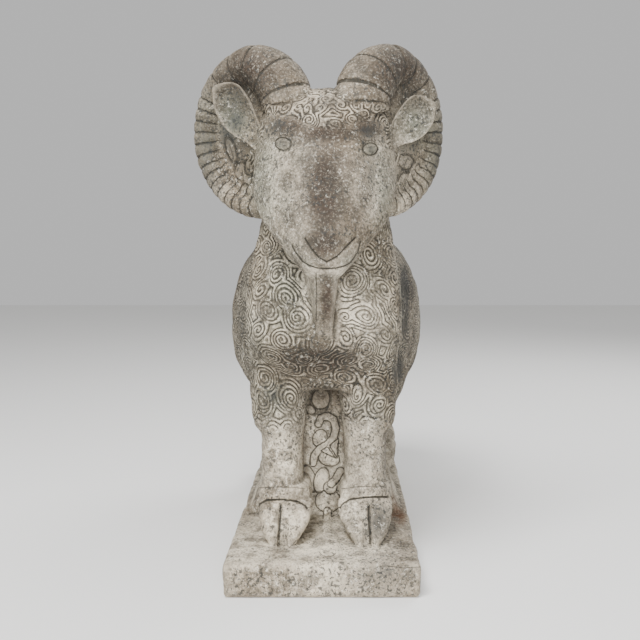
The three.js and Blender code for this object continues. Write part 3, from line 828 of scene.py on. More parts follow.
# %% Scatter the other locks
def eyes_of_locks():
    """Each eye's place, outward direction and reach, in metres."""
    skin_tree = BVHTree.FromPolygons(points.tolist(), faces.tolist())
    found = []
    for x, y, reach in EYES_SEEN:
        towards = Vector(((x - AIM[0]) / FOCAL_PIXELS, 1, (AIM[1] - y) / FOCAL_PIXELS)).normalized()
        hit = skin_tree.ray_cast(EYE_POINT, towards)
        if hit[0] is not None:
            found.append((np.array(hit[0]), np.array(hit[1]), reach / 1000))
    wool = np.flatnonzero(fleece > 0.6)
    picked = chance.permutation(wool)[:TRIES]
    places = [f[0] for f in found]
    reaches = [f[2] for f in found]
    for i in picked:
        p, n = points[i], normals[i]
        reach = REACH_FRONT if p[1] < -0.2 else REACH_BEHIND
        if p[2] > 0.9:
            reach = REACH_BROW
        reach *= 0.8 + 0.4 * chance.random()
        apart = np.linalg.norm(np.array(places) - p, axis=1)
        if (apart > (np.array(reaches) + reach) * CROWDING).all():
            places.append(p)
            reaches.append(reach)
            found.append((p, n, reach))
    return found


found = eyes_of_locks()
eye_place, eye_out, eye_reach = (np.array(column) for column in zip(*found))
upwards = np.tile([0.0, 0.15, 1.0], (len(found), 1))
eye_up = upwards - eye_out * np.einsum("ij,ij->i", upwards, eye_out)[:, None]
eye_up /= np.linalg.norm(eye_up, axis=1)[:, None]
eye_side = np.cross(eye_up, eye_out)
eye_hand = np.where(chance.random(len(found)) < 0.5, 1, -1)
fork_turn = chance.random(len(found)) * 2 * np.pi
long_turn = chance.random(len(found)) * np.pi
eye_long = np.stack([np.cos(long_turn), np.sin(long_turn)], 1)
eye_fork = np.stack([np.cos(fork_turn), np.sin(fork_turn)], 1) * eye_reach[:, None] * 0.9
print(len(found), "locks")

# %% [markdown]
# ## The phase of the strands
# The same function is asked twice: here for the points that are carved, and later for the thinned mesh that the
# material draws on. An eye's distance is shortened along one random direction, so that locks are ovals, and the
# places are warped a little first, so that no line is a drawn circle.

# %% Phase of the strands
STRAND = 0.0061  # from one strand to the next
SOFTNESS = 0.0018  # how widely the distances to two eyes blend, in metres
WARP = 0.0035
LONGER = 0.42  # how much longer than wide a lock is


def strand_phase(p):
    """The phase at points p, how near an eye they are, and for each eye the near points with its turn there."""
    crowd = np.zeros(len(p))
    turned = np.zeros(len(p))
    nearest = np.full(len(p), 9.0)
    turns = []
    warped = p + WARP * np.stack([rough(p, 0.034, k + 11) for k in range(3)], 1)
    small = warped.astype(np.float32)
    for i in range(len(eye_place)):
        away = small - eye_place[i].astype(np.float32)
        near = np.flatnonzero(np.einsum("ij,ij->i", away, away) < (3.0 * eye_reach[i] + 0.01) ** 2)
        v = away[near].astype(float)
        flat = np.stack([v @ eye_side[i], v @ eye_up[i]], 1)
        r = np.sqrt(np.maximum(np.einsum("ij,ij->i", v, v) - LONGER * (flat @ eye_long[i]) ** 2, 0))
        other = flat - eye_fork[i]
        turn = np.arctan2(flat[:, 0] * other[:, 1] - flat[:, 1] * other[:, 0], (flat * other).sum(1))
        fade = 1 - ramp(r, 1.9 * eye_reach[i], 3.0 * eye_reach[i])
        crowd[near] += np.exp(-np.clip((r - eye_reach[i]) / SOFTNESS, -30, 30))
        nearest[near] = np.minimum(nearest[near], r / eye_reach[i])
        turned[near] += eye_hand[i] * fade * turn / (2 * np.pi)
        turns.append((near, turn))
    depth = -SOFTNESS * np.log(np.maximum(crowd, 1e-12))
    return depth / STRAND + turned + 1.5 * rough(p, 0.05, 21), nearest, turns


phase, nearest, _ = strand_phase(points)
print("phase from", round(float(phase.min()), 1), "to", round(float(phase.max()), 1))

# %% [markdown]
# ## Carving
# Carving moves the block's points along their own normals, by sums of small depths. A displacement texture would do
# the same for plain noise, but here each line has a known place.

# %% Carve the fleece
def groove(phase_value, sharp=0.16):
    """1 at the bottom of the groove between two strands."""
    apart = np.abs(phase_value - np.floor(phase_value) - 0.5)
    return bell(apart / sharp)


swell = np.clip(1 - nearest**2, 0, 1)
groove_depth = np.where(points[:, 1] < -0.12, 0.0017, 0.0007)  # metres, shallower where only the back sees it
lift = fleece * (0.0022 * swell - 0.0007)
lift -= fleece * groove_depth * groove(phase)
points = points + normals * lift[:, None]
print("fleece carved, deepest", round(float(lift.min()) * 1000, 1), "mm")

# %% [markdown]
# ## Lines of the face
# The muzzle, mouth and eyes are shallow cuts that were measured in the photograph's pixels. Each point of the block
# knows its pixel, so a cut is a depth that depends on how far that pixel is from a line. One pixel is about 1.8
# millimetres on the face. Only the side that faces the front is cut.

# %% Cuts along lines
def gap_to_line(spots, line):
    """The distance, in pixels, from each spot to a line through the given pixels."""
    line = np.asarray(line, float)
    gap = np.full(len(spots), 1e9)
    for a, b in zip(line[:-1], line[1:]):
        way = b - a
        t = np.clip(((spots - a) @ way) / (way @ way), 0, 1)
        gap = np.minimum(gap, np.hypot(*(spots - a - t[:, None] * way).T))
    return gap


def ring_of(spots, x, y, rx, ry, turn=0):
    """How far out each spot is in an ellipse: 0 in the middle, 1 on its rim."""
    c, s = math.cos(math.radians(turn)), math.sin(math.radians(turn))
    dx, dy = spots[:, 0] - x, spots[:, 1] - y
    return np.hypot((dx * c + dy * s) / rx, (dy * c - dx * s) / ry)


def corners_gap(spots, corners):
    """The distance outside a triangle, and less than 0 inside it."""
    middle, inside = np.mean(corners, 0), np.full(len(spots), 1e9)
    for a, b in zip(corners, corners[1:] + corners[:1]):
        a, b = np.array(a), np.array(b)
        across = np.array([a[1] - b[1], b[0] - a[0]]) / np.hypot(*(b - a))
        across *= np.sign((middle - a) @ across)
        inside = np.minimum(inside, (spots - a) @ across)
    return -inside


NOSTRIL = [
    (304.6, 238), (311.7, 249), (318.3, 257), (326.7, 262), (336.7, 256.7), (343.3, 250), (351.7, 241.3), (356, 237),
]
MOUTH = [
    (291.3, 245), (295.8, 253), (302.5, 261.7), (308.3, 265), (316.7, 268), (325, 268.8), (336.7, 268), (345, 265.8),
    (350.8, 262.5), (357.5, 252.5), (360.8, 240.8),
]
EYES = [(283, 143.8, 8.0, 6.2, 8), (370.4, 149.0, 7.3, 5.9, -6)]  # middle, half width and height, turn in degrees
CUT_UNIT = 0.0012  # metres for each 1 in the depths below

front_only = np.flatnonzero((normals[:, 1] < -0.25) & (points[:, 1] < -0.2) & (seen[:, 1] < 290))
spot = seen[front_only]
cut = np.zeros(len(front_only))
socket_hollow = np.zeros(len(front_only))
wobble = 0.5 * rough(points[front_only], 0.012, 31)
cut -= 2.3 * bell((gap_to_line(spot, NOSTRIL) + wobble) / 1.25)
cut -= 2.0 * bell((gap_to_line(spot, MOUTH) + wobble) / 1.1)
cut += 0.9 * bell(gap_to_line(spot, np.array(MOUTH) + (0, 3.6)) / 1.9)
below_v = gap_to_line(spot, np.array(NOSTRIL)[2:6] + (0, 3))
cut += 1.1 * bell(below_v / 2.2)
for x, y, rx, ry, turn in EYES:
    q = ring_of(spot, x, y, rx, ry, turn)
    cut += 2.4 * np.sqrt(np.clip(1 - q**2, 0, 1))
    cut -= 1.7 * bell((q - 1.06) * ry / 0.75)
    lid = [(x - rx * 1.1, y - 1.5), (x - rx * 0.6, y - ry * 1.25), (x, y - ry * 1.6)]
    lid += [(x + rx * 0.6, y - ry * 1.3), (x + rx * 1.1, y - 1)]
    cut -= 0.9 * bell(gap_to_line(spot, lid))
    socket_hollow += 2.6 * np.exp(-(((spot[:, 0] - x) / 14) ** 2) - ((spot[:, 1] - y + 12) / 8) ** 2)
cut -= 1.6 * bell(gap_to_line(spot, [(334.2, 238), (335.2, 238.6)]) / 1.2)
on_head = is_form("head", "beard")[front_only]
points[front_only] += normals[front_only] * ((cut - socket_hollow) * on_head * CUT_UNIT)[:, None]
print("deepest cut of the face", round(float(cut.min()) * CUT_UNIT * 1000, 1), "mm")

# %% [markdown]
# ## The vine
# The vine is a low relief on the flat end of the stone under the belly, and one leaf of it lies on the plinth. Its
# leaves are small domes with a cut round them, and its stems are bands. Where two lie over each other, the later one
# in the list wins, as the carver's did.

# %% Relief of the vine
DOMES = [  # middle, half width and height, turn in degrees, height in mm
    (310.3, 409.6, 6.0, 4.3, 35, 3.5), (320.8, 399.0, 9.2, 10.6, 12, 5.0), (319.8, 438, 7.2, 9.0, 25, 3.5),
    (329.0, 458.5, 11.0, 7.6, 12, 3.5), (328.0, 501.0, 13.0, 11.6, 0, 5.5), (309.6, 478.5, 6.0, 14.0, -17, 4.5),
    (321.4, 480.0, 7.4, 13.2, 16, 5.0), (330.3, 487.6, 6.8, 6.6, 0, 5.0),
]
S_STEM = [
    (318.5, 424), (321.0, 418.0), (327.0, 415.8), (333.5, 419.5), (336.0, 428), (333.5, 438), (327.5, 444.5),
    (319.5, 449), (314.6, 455), (313.2, 463),
]
BANDS = [  # line, half width, height in mm
    ([(331, 484), (336, 479), (340.5, 471)], 3.6, 4.0),
    (S_STEM, 3.5, 5.5),
    ([(327.5, 511), (327, 520), (326.3, 530)], 3.6, 4.0),
]
TRIANGLES = [[(320.6, 451), (327.5, 446.5), (336, 458.5)], [(329.4, 445.5), (338.6, 438), (337.6, 458.5)]]
panel = (normals[:, 1] < -0.4) & (points[:, 1] > -0.170) & (points[:, 1] < -0.148)
panel &= (np.abs(points[:, 0]) < 0.07) & (seen[:, 1] > 384) & (points[:, 2] > 0.066)
panel = np.flatnonzero(panel)
spot = seen[panel]
raise_by = np.zeros(len(panel))
for x, y, rx, ry, turn, up in DOMES:
    q = ring_of(spot, x, y, rx, ry, turn)
    dome = up * (0.55 + 0.45 * np.sqrt(np.clip(1 - q**2, 0, 1))) * ramp(q, 1.08, 0.86)
    raise_by = np.where(q < 1.1, dome, raise_by - 1.8 * bell((q - 1.12) * min(rx, ry) / 1.1))
for line, half, up in BANDS:
    gap = gap_to_line(spot, line)
    band = up * (0.6 + 0.4 * np.sqrt(np.clip(1 - (gap / half) ** 2, 0, 1)))
    cut_round = 1.8 * bell((gap - half - 0.8) / 0.9) * (gap < half + 3)
    raise_by = np.where(gap < half, band, raise_by - cut_round)
for corners in TRIANGLES:
    inside = -corners_gap(spot, corners)
    raise_by = np.where(inside > 0, 4.0 * ramp(inside, 0, 1.4), raise_by - 1.6 * bell(inside / 0.9))
points[panel, 1] -= raise_by / 1000
print("vine stands out", round(float(raise_by.max()), 1), "mm")

# %% [markdown]
# ## Leaves in the coils
# The stone that fills each coil bears a few leaves, which the ears half hide. They are domes as the vine's are, each
# with a vein along its middle, and they are raised along the stone's own normals, because the coils stand askew.

# %% Leaves in the coils
COIL_LEAVES = [
    (243, 177, 8.5, 15, -8, 4.0), (231, 150, 4.5, 13, -18, 3.0), (250, 166, 5, 9, 10, 3.0), (236, 196, 7, 6, 30, 2.5),
    (406, 162, 8, 7, 20, 3.5), (404, 183, 6, 11, 8, 4.0), (413, 176, 4.6, 15, 14, 3.0), (401, 201, 6, 8, 10, 2.5),
]
chosen = np.flatnonzero(is_form("fill") & (normals[:, 1] < -0.3))
spot = seen[chosen]
raise_by = np.zeros(len(chosen))
for x, y, rx, ry, turn, up in COIL_LEAVES:
    q = ring_of(spot, x, y, rx, ry, turn)
    dome = up * (0.4 + 0.6 * np.sqrt(np.clip(1 - q**2, 0, 1))) * ramp(q, 1.08, 0.8)
    vein = ring_of(spot, x, y, 0.9, ry * 0.8, turn)
    dome -= 1.2 * np.exp(-(vein**2))
    raise_by = np.where(q < 1.1, dome, raise_by - 1.8 * bell((q - 1.14) * min(rx, ry) / 1.1))
points[chosen] += normals[chosen] * (raise_by / 1000)[:, None]
print("leaves in the coils:", len(COIL_LEAVES))

# %% [markdown]
# ## Leaf on the plinth, hooves and cuffs
# The vine's stem ends in a round leaf on the plinth, with a smaller one beside it. Over each hoof runs the edge of a
# cuff, and a cleft parts its claws. All are lines in the photograph's pixels, cut only where the right form faces
# the front.

# %% Leaf on the plinth, hooves and cuffs
def cut_seen(where, line, depth, half):
    """Cuts a line, given in pixels, into the points where `where` holds. The depth is in mm."""
    chosen = np.flatnonzero(where)
    amount = depth * bell(gap_to_line(seen[chosen], line) / half) / 1000
    points[chosen] -= normals[chosen] * amount[:, None]


on_top = (normals[:, 2] > 0.6) & (points[:, 2] < 0.075) & (points[:, 1] < -0.15)
chosen = np.flatnonzero(on_top)
q = ring_of(seen[chosen], 328, 543, 11, 13.5)
leaf = 2.6 * ramp(q, 1.05, 0.86)
leaf -= 1.2 * bell((q - 0.62) * 11 / 1.3)
leaf -= 1.6 * bell((q - 1.1) * 11 / 1.4)
stem_gap = gap_to_line(seen[chosen], [(327.5, 509), (326.5, 529)])
leaf = np.maximum(leaf, 3.2 * ramp(stem_gap, 4.2, 2.8))
points[chosen, 2] += leaf / 1000
SIDE_LEAF = [(312, 512), (308, 520), (303, 530), (300, 541), (310, 543), (318, 542), (322, 535), (324, 528)]
cut_seen(on_top, SIDE_LEAF, 1.8, 1.3)
CUFF_LINES = [
    [(257, 509), (259.5, 504), (266, 500.2), (282, 499.6), (298, 501.6), (305, 505.5), (309, 510)],
    [(339, 509), (343, 503.5), (350, 499.4), (368, 497.2), (388, 496.8)],
]
BAND_LINES = [[(257, 488), (275, 487), (294, 487.3), (306, 489)], [(341, 489), (360, 486.5), (388, 486)]]
CLEFTS = [[(281, 506), (280.4, 520), (279.5, 532), (279, 545)], [(368.4, 506), (368.8, 520), (369.5, 532), (370, 545)]]
PLINTH_CUT, PLINTH_CRACK = [(243, 514.5), (258, 512)], [(386, 566), (404, 568), (421, 567)]
fronts = (normals[:, 1] < -0.2) & (points[:, 1] < -0.2) & (seen[:, 1] > 470)
for where, lines, depth, half in (
    (fronts, CUFF_LINES, 4.0, 1.2),
    (fronts, BAND_LINES, 0.9, 1.1),
    (fronts & is_form("hoof"), CLEFTS, 6.0, 1.3),
):
    for line in lines:
        cut_seen(where, line, depth, half)
cut_seen((points[:, 2] < 0.067) & (points[:, 1] < -0.1), PLINTH_CUT, 2.0, 0.9)
print("cut round the hooves:", len(CUFF_LINES + BAND_LINES + CLEFTS), "lines")

# %% [markdown]
# ## Wear
# Old outdoor stone has no true plane. Broad unevenness, chips along the plinth's edges and a fine roughness are three
# sizes of the same noise, each with its own depth.

# %% Wear
normals = spread(normals, 1)
wear = 0.0009 * rough(points, 0.045, 41) + 0.0005 * rough(points, 0.014, 43) + 0.00035 * rough(points, 0.0065, 47)
plinth_only = is_form("plinth")
wear += plinth_only * 0.0011 * rough(points, 0.028, 53)
edge_gap = np.min(np.array(PLINTH_HALF) / 1000 - np.abs(points[:, :2]), 1)
edge = plinth_only * bell(edge_gap / 0.008) * bell((points[:, 2] - 0.062) / 0.010)
wear -= edge * 0.006 * ramp(rough(points, 0.03, 59), 0.1, 0.75)
wear *= np.where(points[:, 2] < 0.002, 0.2, 1)
points = points + normals * wear[:, None]
print("wear up to", round(float(np.abs(wear).max()) * 1000, 1), "mm")

# %% [markdown]
# ## Patches of colour
# Weather colours the stone by place: brown and speckled on the nose and the horns' tops, greenish grey where the
# fleece stays damp, dark where water runs, pale on the plinth and legs. A few patches are painted light and shade
# instead: painted shade under the chest and behind the right foreleg, painted light on the vine panel and on the
# beard's left side. Each patch in front is an oval in the photograph's pixels. Behind, the same rules follow height
# and slope.

# %% Patches
# Each oval: middle, half width and height, strength.
PATCHES = {
    # The brown ovals at (320, 360), (322, 392) and (323, 396) are painted shade under the chest and over the vine
    # panel.
    "warm": [
        (250, 70, 60, 44, 1.0), (398, 70, 60, 46, 1.0), (325, 190, 27, 66, 1.2), (324, 243, 24, 20, 1.25),
        (325, 134, 44, 15, 1.1), (300, 215, 16, 34, 0.55), (330, 160, 34, 26, 0.9), (290, 126, 24, 15, 1.0),
        (366, 128, 22, 15, 1.0), (352, 215, 18, 34, 0.7), (345, 160, 26, 20, 0.55), (411, 285, 9, 30, 0.9),
        (412, 340, 9, 40, 0.5), (238, 300, 7, 34, 0.4), (327, 298, 9, 36, 1.3), (320, 360, 54, 18, 1.2),
        (322, 392, 22, 10, 1.0), (350, 420, 26, 18, 0.35), (368, 455, 18, 36, 0.3), (250, 545, 20, 18, 0.25),
        (405, 545, 12, 18, 0.5), (323, 396, 16, 14, 0.7), (212, 150, 16, 60, 0.5), (438, 150, 16, 60, 0.5),
        (330, 110, 30, 14, 0.4),
    ],
    "green": [
        (264, 180, 16, 54, 0.85), (282, 200, 14, 30, 0.5), (383, 190, 12, 46, 0.7), (290, 295, 30, 52, 0.8),
        (365, 280, 26, 32, 0.5), (256, 345, 22, 44, 0.55), (388, 350, 18, 34, 0.4), (230, 110, 18, 26, 0.8),
        (412, 120, 16, 20, 0.7), (205, 140, 14, 60, 0.7), (435, 150, 14, 60, 0.7), (272, 400, 22, 24, 0.8),
        (245, 310, 12, 44, 0.4), (306, 262, 9, 6, 0.9), (347, 260, 9, 6, 0.9), (330, 275, 22, 5, 0.6),
        (372, 410, 20, 18, 0.5), (283, 144, 9, 7, 1.0), (370, 149, 9, 7, 1.0), (233, 112, 22, 32, 1.0),
        (418, 122, 24, 26, 0.9), (300, 160, 8, 10, 0.4),
    ],
    # Among the dark ovals, those under the chest, at (300, 352), (350, 352) and (330, 385), and on the hind leg behind
    # the right foreleg, at (382, 460) and (395, 470), are painted shade; those on the horns' outer curves, at (205,
    # 150) and (442, 150), are partly stain and partly painted shade.
    "soot_and_shade": [
        (371, 175, 7, 26, 0.65), (370, 131, 14, 9, 0.75), (277, 127, 12, 9, 0.7), (205, 150, 14, 60, 0.5),
        (442, 150, 14, 60, 0.5), (283, 144, 8, 6, 0.6), (370, 149, 8, 6, 0.6), (236, 114, 15, 30, 0.55),
        (418, 122, 16, 20, 0.36), (404, 300, 6, 50, 1.0), (398, 370, 7, 30, 0.9), (376, 572, 50, 30, 0.5),
        (350, 552, 30, 16, 0.35), (378, 522, 16, 26, 0.8), (382, 460, 8, 44, 0.4), (242, 330, 6, 26, 0.6),
        (275, 395, 14, 12, 0.6), (212, 100, 12, 40, 0.4), (440, 110, 10, 40, 0.45), (330, 385, 22, 5, 0.5),
        (262, 588, 30, 8, 0.35), (345, 232, 14, 14, 0.35), (395, 470, 8, 50, 0.5), (300, 352, 30, 8, 0.35),
        (350, 352, 30, 8, 0.35), (255, 600, 30, 6, 0.35), (330, 600, 60, 5, 0.4), (262, 95, 10, 12, 0.4),
        (412, 92, 14, 10, 0.45),
    ],
    # The pale ovals on the vine panel, at (325, 468) and (325, 505), are painted light that lifts the shade of its
    # recess, and the one at (308, 296) is painted light on the beard's left side.
    "pale": [
        (325, 468, 28, 52, 1.0), (325, 505, 30, 36, 1.0), (250, 548, 40, 20, 1.0), (325, 552, 60, 18, 1.0),
        (286, 465, 24, 34, 0.65), (365, 465, 22, 34, 0.45), (362, 315, 24, 30, 1.0), (348, 306, 12, 40, 0.8),
        (308, 296, 6, 26, 1.0), (300, 585, 60, 14, 0.4), (372, 195, 7, 26, 0.35), (274, 180, 10, 28, 0.25),
        (326, 272, 24, 4, 0.8), (283, 522, 22, 24, 0.6), (360, 522, 16, 24, 0.5),
    ],
    "rust": [
        (399, 497, 8, 8, 1.2), (398, 514, 8, 11, 1.4), (396, 527, 6, 6, 0.9),
    ],
}
print("ovals:", {tone: len(ovals) for tone, ovals in PATCHES.items()})

# %% Weights of the finishes
seen = pixels_of(points)
to_camera = np.array(EYE_POINT) - points
facing = np.einsum("ij,ij->i", normals, to_camera) / np.linalg.norm(to_camera, axis=1)
front = ramp(facing, 0.02, 0.22) * ramp(-points[:, 1], -0.14, 0.0)
hidden = 1 - front
top = ramp(normals[:, 2], 0.2, 0.8)
tones = {}
for tone, patches in PATCHES.items():
    amount = np.zeros(len(points))
    for x, y, rx, ry, much in patches:
        amount = np.maximum(amount, much * np.exp(-(((seen[:, 0] - x) / rx) ** 2) - ((seen[:, 1] - y) / ry) ** 2))
    tones[tone] = np.minimum(amount, 1) * (is_form("plinth", "web") if tone == "rust" else front)
drift = rough(points, 0.11, 61)
tones["warm"] += hidden * (0.45 * ramp(drift, -0.1, 0.5) + 0.3 * top * ramp(points[:, 2], 0.5, 0.7))
tones["green"] += hidden * fleece * 0.6 * ramp(-drift, -0.2, 0.4) + 0.25 * hidden * ramp(points[:, 2], 0.5, 0.2)
tones["soot_and_shade"] += hidden * (0.30 * ramp(rough(points, 0.09, 67), 0.2, 0.6) + 0.25 * top * ramp(points[:, 2], 0.6, 0.72))
# The stone that fills the coils is darker all over.
tones["soot_and_shade"] += 0.42 * is_form("fill")
tones["rust"] *= bell((points[:, 1] + 0.17) / 0.06)
tones["pale"] += hidden * ramp(points[:, 2], 0.30, 0.10) * 0.5
print({tone: round(float(v.mean()), 2) for tone, v in tones.items()})

# %% [markdown]
# ## Back to the mesh, and thinner
# The carved points go back, with the weights that the material reads as attributes. Decimate then thins the mesh
# most where it is flat, which keeps the carving and makes the file small. A remesh can leave a crumb of stone
# beside the block, so every skin but the largest goes.

# %% Put the carved points back, and thin the mesh where it is flat
FACE_LIMIT = 190_000


def put_back(mesh, places):
    mesh.vertices.foreach_set("co", np.ascontiguousarray(places, np.float32).ravel())
    mesh.update()


def keep(mesh, name, values):
    layer = mesh.attributes.get(name) or mesh.attributes.new(name, "FLOAT", "POINT")
    layer.data.foreach_set("value", np.ascontiguousarray(values, np.float32))


put_back(block.data, points)
# How hollow each point is. The material darkens hollows by it: dirt, and painted shade in place of ambient occlusion.
hollow = np.einsum("ij,ij->i", spread(points, 14) - points, normals)
keep(block.data, "cavity", np.clip(hollow / 0.003, -1, 1))
keep(block.data, "fleece", fleece)
keep(block.data, "horn", spread(is_form("horn").astype(float), 2))
for tone, amount in tones.items():
    keep(block.data, tone, np.clip(spread(amount, 4), 0, 1))
settled(block, [("DECIMATE", {"ratio": FACE_LIMIT / len(block.data.polygons)}), ("TRIANGULATE", {})])


print("thinned to", len(block.data.polygons), "triangles;", [a.name for a in block.data.attributes])


# %% Drop the crumbs
def drop_crumbs(mesh):
    """Deletes every skin but the largest, and tells how many points went."""
    corners = triangles_of(mesh)
    label = np.arange(len(mesh.vertices))
    while True:
        joined = label.copy()
        for k in range(3):
            np.minimum.at(joined, corners[:, k], label[corners].min(1))
        joined = joined[joined]
        if (joined == label).all():
            break
        label = joined
    crumbs = np.flatnonzero(label != np.bincount(label).argmax())
    edited = bmesh.new()
    edited.from_mesh(mesh)
    edited.verts.ensure_lookup_table()
    bmesh.ops.delete(edited, geom=[edited.verts[i] for i in crumbs.tolist()], context="VERTS")
    edited.to_mesh(mesh)
    edited.free()
    return len(crumbs)


print("points in crumbs:", drop_crumbs(block.data), "so", len(block.data.polygons), "triangles are left")

# %% [markdown]
# ## Strands for the material
# The grooves are thinner than a triangle, so the material draws them again from the phase. A value at the points
# would tear where a lock's turn jumps by a whole round, so each face's corners get their own, set right against the
# first corner. A UV layer is the place for such numbers. A second layer counts the horns' grooves in the same way.

# %% Strands for the material
def keep_uv(name, u, v):
    """Stores two numbers for each corner of the faces."""
    layer = block.data.uv_layers.new(name=name)
    layer.data.foreach_set("uv", np.stack([u.ravel(), v.ravel()], 1).astype(np.float32).ravel())


points = points_of(block.data)
faces = triangles_of(block.data)
phase, _, turns = strand_phase(points)
corner = phase[faces]
here = np.empty(len(points))
for i, (near, turn) in enumerate(turns):
    here[:] = 99
    here[near] = turn
    touched = here[faces]
    usable = (touched < 50).all(1)
    crossing = np.flatnonzero(usable & (np.abs(touched[:, 1:] - touched[:, :1]).max(1) > np.pi))
    for k in (1, 2):
        jump = np.round((touched[crossing, k] - touched[crossing, 0]) / (2 * np.pi))
        corner[crossing, k] -= eye_hand[i] * jump
keep_uv("strand", corner, np.zeros(corner.shape))
block.data.polygons.foreach_set("use_smooth", np.ones(len(faces), bool))
print("strands on", len(faces), "faces")

# %% Grooves of the horns for the material
NO_HORN = -50
form, horn_turn = named(points)
turn_here = horn_turn[faces]
turn_here[(turn_here.max(1) - turn_here.min(1)) > 12] = NO_HORN  # faces that reach over to the next coil
GROOVE_NUMBERS = np.arange(len(GROOVES), dtype=float)
bands = np.interp(turn_here, GROOVES, GROOVE_NUMBERS, left=-0.5, right=len(GROOVES) - 0.5)
band_middles = (np.asarray(GROOVES)[1:] + GROOVES[:-1]) / 2
band_lengths = np.interp(band_middles, *np.array(COIL)[:, :2].T) * np.diff(GROOVES) / PER_RADIAN
length_here = band_lengths[np.clip(bands.mean(1), 0, len(band_lengths) - 1).astype(int)]
keep_uv("bands", bands, np.repeat(length_here, 3))
print("bands:", len(band_lengths), "of", round(float(band_lengths.min())), "to", round(float(band_lengths.max())), "mm")

# %% [markdown]
# ## Thin dark lines
# The thin cuts are darkened, partly as dirt and partly as painted shade, and a cut is often thinner than a triangle
# of the mesh. Kept as darkness at the points it would turn into beads. A signed distance changes evenly across a
# triangle, so it keeps a line whole: each face takes the line that is nearest to its middle, and its three corners
# keep their own distances from it.

# %% Marks
FAR = 9.0  # where no mark shows, as a distance


def signed_gap(spots, line):
    """The distance to an open line, with a sign for its side, and FAR past its ends."""
    line = np.asarray(line, float)
    best, signed = np.full(len(spots), 1e9), np.full(len(spots), FAR)
    for k, (a, b) in enumerate(zip(line[:-1], line[1:])):
        way = b - a
        t = ((spots - a) @ way) / (way @ way)
        off = spots - a - np.clip(t, 0, 1)[:, None] * way
        gap = np.hypot(*off.T)
        past = (t < 0) if k == 0 else (t > 1) & (k == len(line) - 2)
        side = np.where(way[0] * off[:, 1] < way[1] * off[:, 0], -1, 1)
        signed = np.where(gap < best, np.where(past, FAR, side * gap), signed)
        best = np.minimum(best, gap)
    return signed


def oval_mark(x, y, rx, ry, turn=0, half=0.8, much=1.0, solid=True):
    return lambda spots: (ring_of(spots, x, y, rx, ry, turn) - 1) * min(rx, ry), half, much, solid


def line_mark(line, half=0.8, much=1.0):
    return lambda spots: signed_gap(spots, line), half, much, False


def band_mark(line, half):
    return lambda spots: gap_to_line(spots, line) - half - 0.3, 0.7, 0.85, True


def triangle_mark(corners):
    return lambda spots: corners_gap(spots, corners), 0.75, 0.9, True


def vein_mark(x, y, rx, ry, turn, up):
    aside, along_it = ry * 0.7 * math.sin(math.radians(-turn)), ry * 0.7
    return line_mark([(x - aside, y - along_it), (x + aside, y + along_it)], 0.6, 0.6)


print("gap beside and past a line:", signed_gap(np.array([[1.0, 0.5], [3.0, 0.0]]), [(0, 0), (2, 0)]))

# %% List of the marks
# A mark is a function of the spots, its half width, its strength, and whether it covers what lies under it.
MARKS = {
    ("web",): [oval_mark(*dome[:5], 0.7, 0.85) for dome in DOMES]
    + [band_mark(line, half) for line, half, _ in BANDS]
    + [triangle_mark(corners) for corners in TRIANGLES],
    ("fill",): [oval_mark(*leaf[:5], 0.8, 0.8) for leaf in COIL_LEAVES] + [vein_mark(*leaf) for leaf in COIL_LEAVES],
    ("head", "beard"): [
        # The line at x 316 is painted shade along the beard's left edge.
        line_mark(NOSTRIL, 0.85), line_mark(MOUTH, 0.8), line_mark([(316, 272), (316.3, 300), (316, 322)], 0.8, 0.7),
    ],
    ("leg", "hoof"): [line_mark(line, 1.1) for line in CUFF_LINES] + [line_mark(line, 1.0) for line in CLEFTS]
    + [line_mark(line, 0.6, 0.6) for line in BAND_LINES],
    ("plinth",): [
        line_mark(PLINTH_CUT, 0.7, 0.8), line_mark(PLINTH_CRACK, 0.5, 0.7),
        oval_mark(328, 543, 11.5, 14, 0, 0.6, 0.7), oval_mark(328, 543, 6.5, 8.5, 0, 0.5, 0.4),
        line_mark([(323.4, 509), (322.6, 529)], 0.5, 0.6), line_mark([(331.2, 509), (330.4, 529)], 0.5, 0.6),
        line_mark(SIDE_LEAF, 0.7, 0.8),
    ],
}
for x, y, rx, ry, turn in EYES:
    upper_lid = [(x - rx * 1.2, y - 2), (x - rx * 0.7, y - ry * 1.25), (x, y - ry * 1.5), (x + rx * 0.8, y - ry * 1.25)]
    MARKS["head", "beard"] += [
        oval_mark(x, y, rx, ry, turn, 0.6, 0.85, False),
        # The upper lid's line is the lid's painted shadow.
        line_mark(upper_lid, 0.55, 0.5),
        line_mark([(x - rx * 0.55, y - ry * 0.1), (x, y - ry * 0.45), (x + rx * 0.55, y - ry * 0.15)], 0.55, 0.6),
        line_mark([(x - rx * 0.4, y + ry * 0.3), (x + rx * 0.1, y + ry * 0.5), (x + rx * 0.5, y + ry * 0.2)], 0.5, 0.5),
        line_mark([(x - rx * 0.7, y + ry * 1.1), (x, y + ry * 1.4), (x + rx * 0.9, y + ry)], 0.5, 0.25),
    ]
print("marks:", sum(len(marks) for marks in MARKS.values()))

